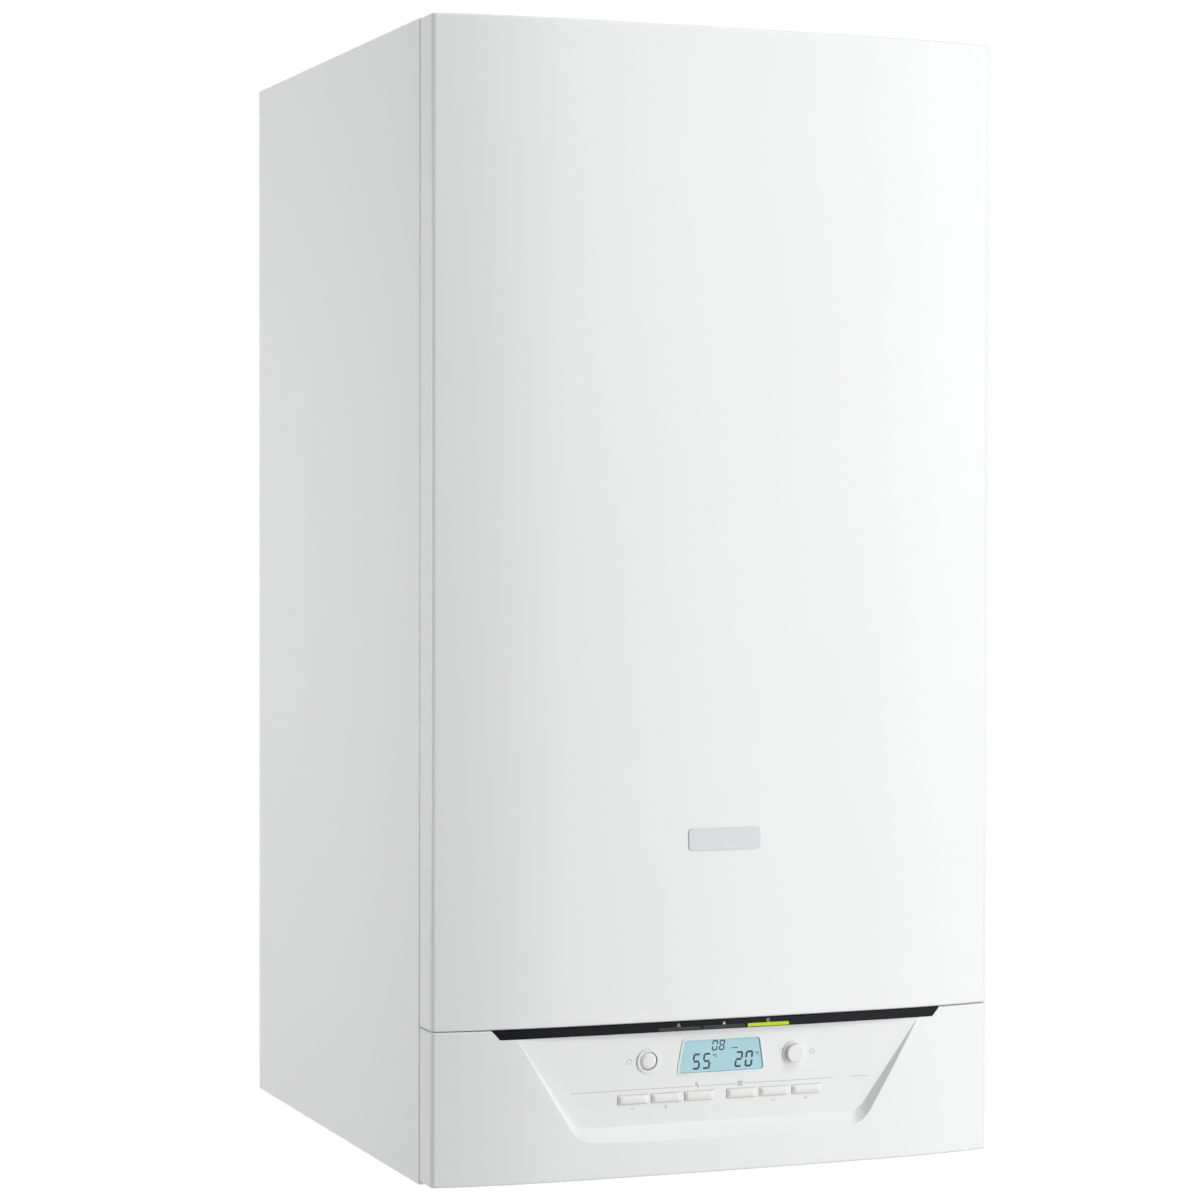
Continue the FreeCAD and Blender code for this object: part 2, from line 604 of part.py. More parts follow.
def make_base_panel():
    plate = box(("-half_inside", "base_front", "base_rise"),
                ("2 * half_inside", "-base_front - frame_sheet", "sheet"))
    ears = [box((f"{side} * (box_half + hinge_gap + ear_thick / 2) - ear_thick / 2",
                 "hinge_y - ear_reach", "ear_low"),
                ("ear_thick", "base_front - hinge_y + ear_reach + ear_lap", "floor_top - ear_low"))
            for side in (1, -1)]
    bores = rod(("-half_inside", "hinge_y", "hinge_z"), "x", "hinge_radius + hinge_fit", "2 * half_inside")
    holes = [base_hole(f"{index} * pipe_pitch", "pipe_y", "pipe_radius + pipe_fit")
             for index in (-2, -1, 0, 1, 2)]
    drain = base_hole("drain_x", "flue_y", "outlet_radius + pipe_fit")
    gland = base_hole("gland_x", "gland_y", "gland_radius + screw_fit")
    keep(cut(fuse(plate, *ears), bores, drain, gland, *holes), "base_panel")


def make_rear_frame():
    plate = box(("-half_inside", "-frame_sheet", "0"), ("2 * half_inside", "frame_sheet", "frame_top"))
    flanges = [box((low, "-frame_sheet - frame_flange", "floor_top"),
                   ("frame_sheet", "frame_flange", "frame_top - floor_top"))
               for low in ("-half_inside", "half_inside - frame_sheet")]
    keep(fuse(plate, *flanges), "rear_frame")


def make_mid_frame():
    height = "mid_top - floor_top"
    plate = box(("-half_inside", "mid_front", "floor_top"), ("2 * half_inside", "frame_sheet", height))
    flanges = [box((low, "mid_rear", "floor_top"), ("frame_sheet", "mid_flange", height))
               for low in ("-half_inside", "half_inside - frame_sheet")]
    holes = [rod((f"{side} * pipe_pitch", "mid_front - over", "tank_port_low"), "y",
                 "port_radius + pipe_fit", "frame_sheet + 2 * over") for side in (1, -1)]
    keep(cut(fuse(plate, *flanges), *holes), "mid_frame")


def make_wall_rail():
    profile = [("0", "rail_low"), ("0", "rail_top"), ("-rail_reach + rail_thick", "rail_top"),
               ("-rail_reach + rail_thick", "rail_top + rail_lip"), ("-rail_reach", "rail_top + rail_lip"),
               ("-rail_reach", "rail_top - rail_thick"), ("-rail_thick", "rail_top - rail_thick"),
               ("-rail_thick", "rail_low")]
    strip = prism("YZ_Plane", "-rail_length / 2", profile, "rail_length")
    holes = [rod((f"{side} * rail_hole_spacing / 2", "-rail_thick - over", "rail_hole_z"), "y",
                 "rail_hole_radius", "rail_thick + 2 * over") for side in (1, -1)]
    keep(cut(strip, *holes), "wall_rail")


def make_hanger_bar():
    lip = "-rail_thick - hanger_play"
    top = "rail_top + hanger_lip"
    web = f"{top} - hanger_web"
    ceiling = f"{top} - hanger_thick"
    profile = [(lip, "rail_top"), (lip, top), ("-hanger_reach", top), ("-hanger_reach", web),
               ("-hanger_reach + hanger_thick", web), ("-hanger_reach + hanger_thick", ceiling),
               (f"{lip} - hanger_thick", ceiling), (f"{lip} - hanger_thick", "rail_top")]
    keep(prism("YZ_Plane", "-half_inside", profile, "2 * half_inside"), "hanger_bar")


def make_fixing_screws():
    """Pan-head screws: six in the burner door, four in the roof."""
    screws = []
    for across, up in ring_places("screw_count", "screw_circle"):
        spot = (across, f"cell_z + {up}")
        head = rod((spot[0], "door_front - screw_head_height", spot[1]), "y", "screw_head",
                   "screw_head_height")
        shank = rod((spot[0], "door_front", spot[1]), "y", "screw_shank", "screw_length")
        screws.append(fuse(head, shank))
    for side, y in itertools.product((1, -1), ROOF_SCREW_ROWS):
        spot = (f"{side} * (half_width - screw_inset)", y)
        head = rod((*spot, "casing_height"), "z", "screw_head", "screw_head_height")
        shank = rod((*spot, "casing_height - screw_length"), "z", "screw_shank", "screw_length")
        screws.append(fuse(head, shank))
    keep(group(*screws), "fixing_screws")


def make_cable_gland():
    at = ("gland_x", "gland_y")
    length = "gland_low + sheet + gland_high"
    tube = rod((*at, "base_rise - gland_low"), "z", "gland_radius", length)
    flange = rod((*at, "base_rise - gland_flange_thick"), "z", "gland_flange", "gland_flange_thick")
    nut = rod((*at, "floor_top"), "z", "gland_flange", "gland_flange_thick")
    bore = rod((*at, "base_rise - gland_low - over"), "z", "gland_bore", f"{length} + 2 * over")
    keep(cut(fuse(tube, flange, nut), bore), "cable_gland")


# Control panel

def strip_outline(grow):
    low = f"strip_low - {grow}"
    high = f"fascia_top + {grow}"
    return [(f"-strip_half_low - {grow}", low), (f"strip_half_low + {grow}", low),
            (f"strip_half_top + {grow}", high), (f"-strip_half_top - {grow}", high)]


def strip_band(grow):
    """Piece of the bowed front wall inside the strip's outline, grown for the pocket it sits in."""
    low = f"strip_low - {grow}"
    high = f"fascia_top + {grow}"
    band = cut(bowed("0", "return_rear", low, high),
               bowed(f"(strip_depth + {grow})", "return_rear + over", f"{low} - over", f"{high} + over"))
    front = prism("XZ_Plane", "casing_depth - strip_span / 2", strip_outline(grow), "strip_span")
    return common(band, front)


def light_boxes(grow, deeper):
    return [box((f"{index} * light_pitch - light_width / 2 - {grow}", "-casing_depth - light_stand",
                 f"strip_low + light_lift - {grow}"),
                (f"light_width + 2 * {grow}", f"strip_depth + light_stand + {deeper}",
                 f"light_height + 2 * {grow}")) for index in (-1, 0, 1)]


def make_indicator_strip():
    keep(cut(strip_band("0"), *light_boxes("light_fit", "over")), "indicator_strip")
    keep(group(*light_boxes("0", "0")), "status_lights")


def recess_corners(half_top, half_low, low, high):
    return [(f"-({half_low})", low), (half_low, low), (half_top, high), (f"-({half_top})", high)]


def recess_outline(base, tilt, corners):
    sketch = doc.addObject("Sketcher::SketchObject", named("sketch"))
    sketch.Placement = FreeCAD.Placement(FreeCAD.Vector(), FreeCAD.Rotation(FreeCAD.Vector(1, 0, 0), 90))
    bind(sketch, {"Placement.Rotation.Angle": f"90 + {tilt}"})
    outline(sketch, corners)
    return place(sketch, base)


def recess_cutter():
    """Boat-shaped sink: wide rim at the front, narrower tilted floor, rounded lower corners."""
    rim = recess_outline(("0", "-casing_depth - over", "0"), "0",
                         recess_corners("recess_half_top + over", "recess_half_low + over",
                                        "recess_low - over", "fascia_top + over"))
    floor = recess_outline(("0", "panel_y", "panel_low"), "panel_tilt / 1 deg",
                           recess_corners("recess_half_top - recess_slope / 2",
                                          "recess_half_low + recess_flare * recess_ledge - recess_slope",
                                          "0", "panel_length + strip_height"))
    loft = doc.addObject("Part::Loft", named("loft"))
    loft.Sections = [rim, floor]
    loft.Solid = True
    loft.Ruled = True
    doc.recompute()
    radii = (value("recess_corner"), value("recess_corner_in"))
    corners = []
    for index, edge in enumerate(loft.Shape.Edges, start=1):
        spot = middle_of(edge)
        if edge.BoundBox.YLength > value("recess_depth / 2") and spot.z < value("panel_low"):
            from_rim = edge.valueAt(edge.FirstParameter).y < spot.y
            corners.append((index, *(radii if from_rim else radii[::-1])))
    fillet = doc.addObject("Part::Fillet", named("fillet"))
    fillet.Base = loft
    fillet.Edges = corners
    return fillet


def key_centres():
    names = ("water_minus_key", "water_plus_key", "menu_key", "heating_key", "heating_minus_key",
             "heating_plus_key")
    steps = (-2, -1, 0, 0, 1, 2)
    sides = (-1, -1, -1, 1, 1, 1)
    return [(name, f"{side} * key_first + {step} * key_pitch")
            for name, step, side in zip(names, steps, sides)]


def key_outline(grow):
    return rectangle(f"-key_width / 2 - {grow}", f"-key_height / 2 - {grow}",
                     f"key_width / 2 + {grow}", f"key_height / 2 + {grow}")


def window_outline(grow):
    low = f"window_low - {grow}"
    high = f"window_low + window_height + {grow}"
    return [(f"-window_half_low - {grow}", low), (f"window_half_low + {grow}", low),
            (f"window_half_top + {grow}", high), (f"-window_half_top - {grow}", high)]


def window_block(start, grow, length):
    """Trapezoid block of the display window with rounded corners, grown all round."""
    block = prism("XZ_Plane", start, window_outline(grow), length)
    tall = value(length) / 2
    return on_panel(round_edges(block, f"window_corner + {grow}", lambda edge: edge.BoundBox.YLength > tall))


def make_control_fascia():
    solid = bowed("0", "return_rear", "fascia_rise", "fascia_top")
    round_edges(solid, "cover_corner", front_edges)
    round_edges(solid, "cover_edge", rim_edges)
    cavity = bowed("fascia_wall", "return_rear + over", "fascia_rise + fascia_wall",
                   "fascia_top - fascia_wall")
    grown = recess_corners("recess_half_top + fascia_wall", "recess_half_low + fascia_wall",
                           "-recess_ledge - fascia_wall", "panel_length + strip_height")
    backing = on_panel(prism("XZ_Plane", "-fascia_wall", grown, "backing_reach"))
    posts = [rod((f"{side} * (box_half + post_offset)", "-casing_depth + over", level), "y", "post_radius",
                 "box_front - over")
             for side in (1, -1) for level in ("box_low + post_inset", "box_high - post_inset")]
    shell = cut(solid, cut(cavity, backing, *posts))
    bezels = [on_panel(disc("XZ_Plane", "-over", ("0", "0"), "bezel_radius", "over + bezel_stand"),
                       f"{side} * button_x", "button_up") for side in (1, -1)]
    frame = window_block("-over", "window_frame", "over + window_frame_stand")
    sunk = fuse(cut(shell, recess_cutter(), strip_band("strip_fit")), frame, *bezels)
    holes = [window_block("-hole_depth", "key_fit", "2 * hole_depth")]
    for side in (1, -1):
        hole = disc("XZ_Plane", "-hole_depth", ("0", "0"), "button_radius + key_fit", "2 * hole_depth")
        holes.append(on_panel(hole, f"{side} * button_x", "button_up"))
    for _, across in key_centres():
        hole = prism("XZ_Plane", "-hole_depth", key_outline("key_fit"), "2 * hole_depth")
        holes.append(on_panel(hole, across, "key_up"))
    keep(cut(sunk, *holes), "control_fascia")


def make_keys():
    back = "switch_front - key_travel - switch_gap"
    front = value("-key_stand + key_round / 2")
    wall = value("fascia_wall")
    for name, across in key_centres():
        body = prism("XZ_Plane", f"-({back})", key_outline("0"), f"{back} + key_stand")
        body = prism("XZ_Plane", f"-({back})", key_outline("key_flange"),
                     f"{back} - fascia_wall - key_flange_gap", body)
        round_edges(body, "key_round", lambda edge: middle_of(edge).y < front
                    or (edge.BoundBox.YLength > wall and middle_of(edge).y < wall))
        keep(on_panel(body, across, "key_up"), name)


def make_buttons():
    for kind, side in (("reset", -1), ("power", 1)):
        back = f"switch_front - {kind}_travel - switch_gap"
        front = value(f"-{kind}_stand + {kind}_round / 2")
        body = disc("XZ_Plane", f"-({back})", ("0", "0"), "button_radius", f"{back} + {kind}_stand")
        round_edges(body, f"{kind}_round", lambda edge: middle_of(edge).y < front)
        keep(on_panel(body, f"{side} * button_x", "button_up"), f"{kind}_button")


def make_display():
    keep(window_block("-fascia_wall", "0", "fascia_wall - window_sink"), "display_window")
    module = prism("XZ_Plane", "-fascia_wall - module_depth", window_outline("module_margin"),
                   "module_depth")
    keep(on_panel(module), "display_module")


def make_key_board():
    front = "fascia_wall + module_depth"
    board = prism("XZ_Plane", f"-({front}) - board_thick",
                  rectangle("-board_half", "board_low", "board_half", "panel_length - board_top_gap"),
                  "board_thick")
    spots = [(across, "key_up") for _, across in key_centres()]
    spots += [(f"{side} * button_x", "button_up") for side in (1, -1)]
    for across, up in spots:
        switch = rectangle(f"{across} - switch_half", f"{up} - switch_half",
                           f"{across} + switch_half", f"{up} + switch_half")
        prism("XZ_Plane", f"-({front})", switch, "switch_rise", board)
    keep(on_panel(board), "key_board")


def make_control_box():
    wall = box(("-box_half", "box_front_y", "box_low"), ("2 * box_half", "box_depth", "box_height"))
    room = box(("-box_half + box_wall", "box_front_y - over", "box_low + box_wall"),
               ("2 * (box_half - box_wall)", "box_depth + 2 * over", "box_height - 2 * box_wall"))
    rim = box(("-box_half - box_rim", "box_front_y", "box_low - box_rim"),
              ("2 * (box_half + box_rim)", "box_wall", "box_height + 2 * box_rim"))
    ears = [box((f"{side} * (box_half - box_ear / 2) - box_ear / 2",
                 "hinge_y - box_ear", "hinge_z - box_ear_drop"),
                ("box_ear", "2 * box_ear", "box_low + box_ear_lap - hinge_z + box_ear_drop"))
            for side in (1, -1)]
    stubs = [rod((f"{side} * (box_half - stub_inset + hinge_reach) - hinge_reach", "hinge_y", "hinge_z"),
                 "x", "hinge_radius", "2 * hinge_reach") for side in (1, -1)]
    keep(fuse(cut(fuse(wall, rim), room), *ears, *stubs), "control_box")


def make_control_box_lid():
    lid = box(("-box_half", "box_rear_y", "box_low"), ("2 * box_half", "lid_thick", "box_height"))
    posts = [rod((f"{side} * (box_half - lid_post_inset)", "main_board_rear", level), "y",
                 "lid_post_radius", "lid_post_length")
             for side in (1, -1) for level in ("box_low + lid_post_level", "box_high - lid_post_level")]
    keep(fuse(lid, *posts), "control_box_lid")


def make_main_board():
    board = box(("-box_half + main_board_side", "main_board_front", "box_low + main_board_edge"),
                ("2 * (box_half - main_board_side)", "board_thick", "box_height - 2 * main_board_edge"))
    chips = [box((left, f"main_board_front - {tall}", "box_low + chip_low"), (wide, tall, "chip_height"))
             for left, wide, tall in CHIPS]
    cans = [rod((across, "main_board_front - can_height", "box_low + can_level"), "y", "can_radius",
                "can_height")
            for across in CANS]
    keep(fuse(board, *chips, *cans), "main_board")


# Burner and heat cell

def door_screw_holes(front, length):
    return [rod((across, front, f"cell_z + {up}"), "y", "screw_shank + screw_fit", length)
            for across, up in ring_places("screw_count", "screw_circle")]


def make_heat_exchanger():
    shell = rod(("0", "cell_front", "cell_z"), "y", "cell_radius", "cell_length")
    flange = rod(("0", "flange_front", "cell_z"), "y", "cell_radius + cell_flange", "cell_flange_thick")
    flue = rod(("0", "flue_y", "cell_z"), "z", "flue_radius", "cell_flue_top - cell_z")
    drain = rod(("drain_x", "flue_y", "drain_low"), "z", "drain_radius", "drain_drop")
    ports = [rod((f"{side} * pipe_pitch", "cell_port_y", "cell_port_low"), "z", "port_radius",
                 "cell_port_drop")
             for side in (1, -1)]
    chamber = rod(("0", "flange_front - over", "cell_z"), "y", "cell_radius - cell_wall",
                  "cell_length + cell_flange_thick + over - 2 * cell_wall")
    flue_bore = rod(("0", "flue_y", "cell_z"), "z", "flue_radius - flue_wall",
                    "cell_flue_top - cell_z + over")
    drain_bore = rod(("drain_x", "flue_y", "drain_low - over"), "z", "drain_radius - drain_wall",
                     "drain_drop")
    port_bores = [rod((f"{side} * pipe_pitch", "cell_port_y", "cell_port_low - over"), "z", "port_bore",
                      "cell_port_drop") for side in (1, -1)]
    screw_holes = door_screw_holes("flange_front - over", "cell_flange_thick + 2 * over")
    body = fuse(shell, flange, flue, drain, *ports)
    keep(cut(body, chamber, flue_bore, drain_bore, *port_bores, *screw_holes), "heat_exchanger")


def make_burner_door():
    plate = rod(("0", "door_front", "cell_z"), "y", "cell_radius + cell_flange", "door_thick")
    boss = rod(("0", "door_front - boss_length", "cell_z"), "y", "duct_radius + boss_wall", "boss_length")
    drop = rod(("0", "duct_y", "duct_low"), "z", "duct_radius", "duct_drop")
    passage = rod(("0", "door_front - boss_length + boss_end", "cell_z"), "y", "duct_radius",
                  "boss_length + door_thick")
    down = rod(("0", "duct_y", "duct_low - over"), "z", "duct_bore", "duct_drop")
    probe = rod(("electrode_up", "door_front - over", "cell_z + electrode_up"), "y",
                "electrode_head + screw_fit", "door_thick + 2 * over")
    screw_holes = door_screw_holes("door_front - over", "door_thick + 2 * over")
    keep(cut(fuse(plate, boss, drop), passage, down, probe, *screw_holes), "burner_door")


def make_burner():
    tube = ring(("0", "flange_front", "cell_z"), "y", "burner_radius", "burner_radius - burner_wall",
                "burner_length")
    end = rod(("0", "flange_front + burner_length - burner_end", "cell_z"), "y", "burner_radius",
              "burner_end")
    keep(fuse(tube, end), "burner_tube")
    level = "cell_z + electrode_up"
    head = rod(("electrode_up", "door_front - electrode_stand", level), "y", "electrode_head",
               "door_thick + electrode_stand")
    seat = rod(("electrode_up", "door_front - electrode_seat", level), "y",
               "electrode_head + electrode_seat_width", "electrode_seat")
    tip = rod(("electrode_up", "flange_front", level), "y", "electrode_radius", "electrode_length")
    keep(fuse(head, seat, tip), "ignition_electrode")


def make_fan():
    volute = rod(("fan_offset", "fan_front", "fan_z"), "y", "fan_radius", "fan_width")
    outlet = rod(("0", "duct_y", "fan_z"), "z", "duct_radius", "duct_low - fan_z")
    mixer = rod(("fan_offset", "fan_rear", "fan_z"), "y", "mixer_radius", "mixer_length")
    gas_spigot = rod(("valve_right", "mixer_mid", "fan_z"), "x", "gas_spigot_radius",
                     "fan_offset - valve_right")
    air_spigot = rod(("fan_offset", "mixer_mid", "fan_z"), "x", "intake_radius",
                     "intake_start - fan_offset")
    room = rod(("fan_offset", "fan_front + fan_wall", "fan_z"), "y", "fan_radius - fan_wall",
               "fan_width - 2 * fan_wall")
    up = rod(("0", "duct_y", "fan_z"), "z", "duct_bore", "duct_low - fan_z + over")
    inlet = rod(("fan_offset", "fan_rear - fan_wall - over", "fan_z"), "y", "mixer_bore",
                "mixer_length + over")
    gas = rod(("valve_right - over", "mixer_mid", "fan_z"), "x", "gas_spigot_radius - gas_spigot_wall",
              "fan_offset - valve_right")
    air = rod(("fan_offset", "mixer_mid", "fan_z"), "x", "intake_radius - intake_wall",
              "intake_start - fan_offset + over")
    shaft = rod(("fan_offset", "fan_front - over", "fan_z"), "y", "shaft_hole", "fan_wall + 2 * over")
    keep(cut(fuse(volute, outlet, mixer, gas_spigot, air_spigot), room, up, inlet, gas, air, shaft),
         "fan_housing")
    motor_front = "fan_front - fan_motor_length"
    motor = rod(("fan_offset", motor_front, "fan_z"), "y", "fan_motor_radius", "fan_motor_length")
    bearing = rod(("fan_offset", f"{motor_front} + bearing_end", "fan_z"), "y", "shaft_radius + shaft_fit",
                  "fan_motor_length")
    keep(cut(motor, bearing), "fan_motor")


def wheel(radius, width, blade_low, shaft_length):
    """Bladed wheel about its own Z axis: back disc, blades, hub and a shaft on the blade side."""
    body = disc("XY_Plane", "0", ("0", "0"), radius, "blade_thick")
    blade = new_sketch(body, "XY_Plane", "blade_thick")
    outline(blade, rectangle(blade_low, "-blade_thick / 2", f"{radius} - blade_inset", "blade_thick / 2"))
    vane = pad(body, blade, f"{width} - blade_thick")
    doc.recompute()
    pattern = body.newObject("PartDesign::PolarPattern", named("pattern"))
    pattern.Originals = [vane]
    pattern.Axis = ([item for item in body.Origin.OriginFeatures if item.Role == "Z_Axis"][0], [""])
    pattern.Angle = 360
    bind(pattern, {"Occurrences": "blade_count"})
    body.Tip = pattern
    doc.recompute()
    disc("XY_Plane", "0", ("0", "0"), "wheel_hub", width, body)
    disc("XY_Plane", "0", ("0", "0"), "shaft_radius", f"{width} + {shaft_length}", body)
    body.Placement = FreeCAD.Placement(FreeCAD.Vector(), FreeCAD.Rotation(FreeCAD.Vector(1, 0, 0), 90))
    return body


def make_wheels():
    fan = wheel("wheel_radius", "wheel_width", "mixer_bore",
                "fan_wheel_y - wheel_width - fan_front + fan_motor_length - shaft_setback")
    keep(place(fan, ("fan_offset", "fan_wheel_y", "fan_z")), "fan_impeller")
    pump = wheel("pump_wheel", "pump_wheel_width", "wheel_hub + pump_blade_gap",
                 "pump_wheel_y - pump_wheel_width - pump_front + pump_shaft_reach")
    keep(place(pump, ("pump_x", "pump_wheel_y", "pump_z")), "pump_impeller")


def make_gas_valve():
    block = box(("valve_left", "valve_front", "valve_low"),
                ("valve_right - valve_left", "valve_depth", "valve_height"))
    coil = box(("valve_left + coil_inset", "valve_front - coil_reach", "valve_low + coil_low"),
               ("coil_width", "coil_reach", "coil_height"))
    inlet = rod(("valve_x", "valve_y", "valve_inlet_low"), "z", "pipe_radius + valve_inlet_wall",
                "valve_inlet")
    test_point = rod(("valve_right - test_inset", "valve_front - test_reach",
                      "valve_low + valve_height - test_inset"),
                     "y", "test_radius", "test_reach")
    keep(fuse(block, coil, inlet, test_point), "gas_valve")
    route = [("0", "pipe_y", "-nipple_drop"), ("0", "pipe_y", "gas_level"),
             ("valve_x", "valve_y", "gas_level"), ("valve_x", "valve_y", "valve_inlet_low")]
    keep(pipe(route, "pipe_radius", "pipe_wall", "gas_bend", True), "gas_pipe")


def make_air_intake():
    route = [("intake_start", "mixer_mid", "fan_z"), ("intake_x", "mixer_mid", "fan_z"),
             ("intake_x", "mixer_mid", "cell_z")]
    keep(pipe(route, "intake_radius", "intake_wall", "intake_bend"), "air_intake")


def make_flue_duct():
    at = ("0", "flue_y")
    wide = "flue_radius + flue_fit"
    narrow = "flue_bore + flue_tube + flue_fit"
    outside = fuse(rod((*at, "flue_low"), "z", f"{wide} + flue_duct_wall", "flue_socket_height"),
                   rod((*at, "flue_low"), "z", f"{narrow} + flue_duct_wall", "flue_top - flue_low"))
    inside = fuse(rod((*at, "flue_low - over"), "z", wide, "flue_socket_height - flue_socket_roof + over"),
                  rod((*at, "flue_low - over"), "z", narrow, "flue_top - flue_low + 2 * over"))
    keep(cut(outside, inside), "flue_duct")


def collar_rib(angle):
    """Thin spoke from the flue tube to the air collar at an angle from the right."""
    rib = doc.addObject("Part::Box", named("box"))
    bind(rib, {"Length": "air_radius - air_wall / 2", "Width": "rib_thick", "Height": "rib_height"})
    rib.Placement = FreeCAD.Placement(FreeCAD.Vector(), FreeCAD.Rotation(FreeCAD.Vector(0, 0, 1), angle))
    return place(rib, (f"rib_thick / 2 * sin({angle})", f"flue_y - rib_thick / 2 * cos({angle})",
                       "casing_height + rib_lift"))


def make_flue_collar():
    at = ("0", "flue_y")
    flange = ring((*at, "casing_height"), "z", "collar_flange", "roof_hole", "collar_flange_thick")
    outer = ring((*at, "casing_height"), "z", "air_radius", "air_radius - air_wall", "collar_rise")
    ribs = [collar_rib(90 + 360 * index / SIZES["rib_count"]) for index in range(SIZES["rib_count"])]
    tube = rod((*at, "casing_height - collar_drop"), "z", "flue_bore + flue_tube",
               "collar_rise + collar_drop")
    bore = rod((*at, "casing_height - collar_drop - over"), "z", "flue_bore",
               "collar_rise + collar_drop + 2 * over")
    keep(cut(fuse(flange, outer, tube, *ribs), bore), "flue_collar")


def make_condensate():
    at = ("drain_x", "flue_y")
    cup = rod((*at, "trap_low"), "z", "trap_radius", "trap_height")
    collar = rod((*at, "trap_top - trap_collar_drop"), "z", "trap_radius + trap_collar_width",
                 "trap_collar_height")
    room = rod((*at, "trap_low + trap_wall"), "z", "trap_radius - trap_wall",
               "trap_height - 2 * trap_wall")
    outlet = rod((*at, "-outlet_drop"), "z", "outlet_radius - outlet_step",
                 "trap_low + outlet_drop + trap_wall")
    spigot = rod((*at, "-outlet_drop"), "z", "outlet_radius", "outlet_spigot")
    drain = rod((*at, "-outlet_drop - over"), "z", "outlet_radius - outlet_wall",
                "trap_low + outlet_drop + 2 * trap_wall")
    inlet = rod((*at, "trap_top - 2 * trap_wall"), "z", "drain_radius - drain_wall", "3 * trap_wall")
    keep(cut(fuse(cut(fuse(cup, collar), room), outlet, spigot), drain, inlet), "condensate_trap")
    hose = pipe([(*at, "drain_low"), (*at, "trap_top")], "hose_radius", "trap_wall", "pipe_bend")
    keep(hose, "condensate_hose")


# Storage and hydraulics

def cylinder_vessel(across, grow):
    """Upright cylinder with domed ends, shrunk by the given amount on every side."""
    body = disc("XY_Plane", f"tank_low + {grow}", (across, "tank_y"), f"tank_radius - {grow}",
                f"tank_top - tank_low - 2 * {grow}")
    return round_edges(body, f"tank_dome - {grow}", lambda edge: not upright(edge))


def make_storage_tanks():
    tanks = []
    for side in (1, -1):
        across = f"{side} * tank_x"
        skirt = ring((across, "tank_y", "floor_top"), "z", "skirt_radius", "skirt_radius - skirt_wall",
                     "tank_low - floor_top + tank_dome")
        port_x = f"{side} * pipe_pitch"
        port = rod((port_x, "mid_front", "tank_port_low"), "y", "port_radius", "port_length")
        bore = rod((port_x, "mid_front - over", "tank_port_low"), "y", "port_bore",
                   "port_length + 2 * over")
        top_bore = rod((across, "tank_y", "tank_top - tank_wall - over"), "z", "pipe_radius - pipe_wall",
                       "tank_wall + 2 * over")
        outside = fuse(cylinder_vessel(across, "0"), skirt, port)
        tanks.append(cut(outside, cylinder_vessel(across, "tank_wall"), bore, top_bore))
    keep(group(*tanks), "storage_tanks")


def vessel_shell(inset):
    """Flat upright vessel with rounded edges away from the side panel, shrunk by the inset."""
    plan = rectangle(f"-half_inside + {inset}", f"vessel_front + {inset}",
                     f"-half_inside + vessel_width - {inset}", f"mid_front - {inset}")
    body = prism("XY_Plane", f"vessel_low + {inset}", plan, f"vessel_height - 2 * {inset}")
    side = value(f"-half_inside + {inset} + over")
    return round_edges(body, f"vessel_round - {inset}", lambda edge: middle_of(edge).x > side)


def make_expansion_vessel():
    port = rod(("vessel_x", "pipe_y", "vessel_low - over"), "z", "bleed_radius - pipe_wall",
               "vessel_wall + 2 * over")
    keep(cut(vessel_shell("0"), vessel_shell("vessel_wall"), port), "expansion_vessel")


def make_plate_exchanger():
    block = box(("plate_left", "plate_front", "plate_low"),
                ("plate_right - plate_left", "plate_depth", "plate_height"))
    grooves = [box((left, f"plate_front + groove_pitch + {index} * groove_pitch",
                    "plate_low + groove_end"),
                   ("groove_sink + over", "groove", "plate_height - 2 * groove_end"))
               for left in ("plate_left - over", "plate_right - groove_sink")
               for index in range(SIZES["groove_count"])]
    room = box(("plate_left + plate_skin", "plate_front + plate_skin", "plate_low + plate_skin"),
               ("plate_right - plate_left - 2 * plate_skin", "plate_depth - 2 * plate_skin",
                "plate_height - 2 * plate_skin"))
    port = rod(("-pipe_pitch", "pipe_y", "plate_low - over"), "z", "pipe_radius - pipe_wall",
               "plate_skin + 2 * over")
    keep(cut(block, room, port, *grooves), "plate_exchanger")


def make_diverter():
    block = box(("diverter_left", "diverter_front", "diverter_low"),
                ("diverter_width", "diverter_depth", "diverter_height"))
    seat = rod(("diverter_x", "diverter_front - over", "diverter_mid"), "y", "stem_radius + stem_fit",
               "over + stem_rear + stem_travel + stem_end_gap")
    keep(cut(block, seat), "diverter_valve")
    stem = rod(("diverter_x", "actuator_rear - stem_front", "diverter_mid"), "y", "stem_radius",
               "stem_front + stem_gap + stem_rear")
    collar = rod(("diverter_x", "actuator_rear + stem_collar_gap", "diverter_mid"), "y",
                 "stem_radius + stem_collar_width", "stem_collar_thick")
    keep(fuse(stem, collar), "diverter_stem")
    case = box(("diverter_x - actuator_width / 2", "actuator_rear - actuator_length",
                "diverter_mid - actuator_height / 2"),
               ("actuator_width", "actuator_length", "actuator_height"))
    bore = rod(("diverter_x", "actuator_rear - stem_front - stem_end_gap", "diverter_mid"), "y",
               "stem_radius + stem_fit", "stem_front + stem_end_gap + over")
    posts = [rod(("diverter_x", "actuator_rear", f"diverter_mid + {side} * bracket_offset"), "y",
                 "bracket_radius", "stem_gap") for side in (1, -1)]
    keep(fuse(cut(case, bore), *posts), "diverter_motor")


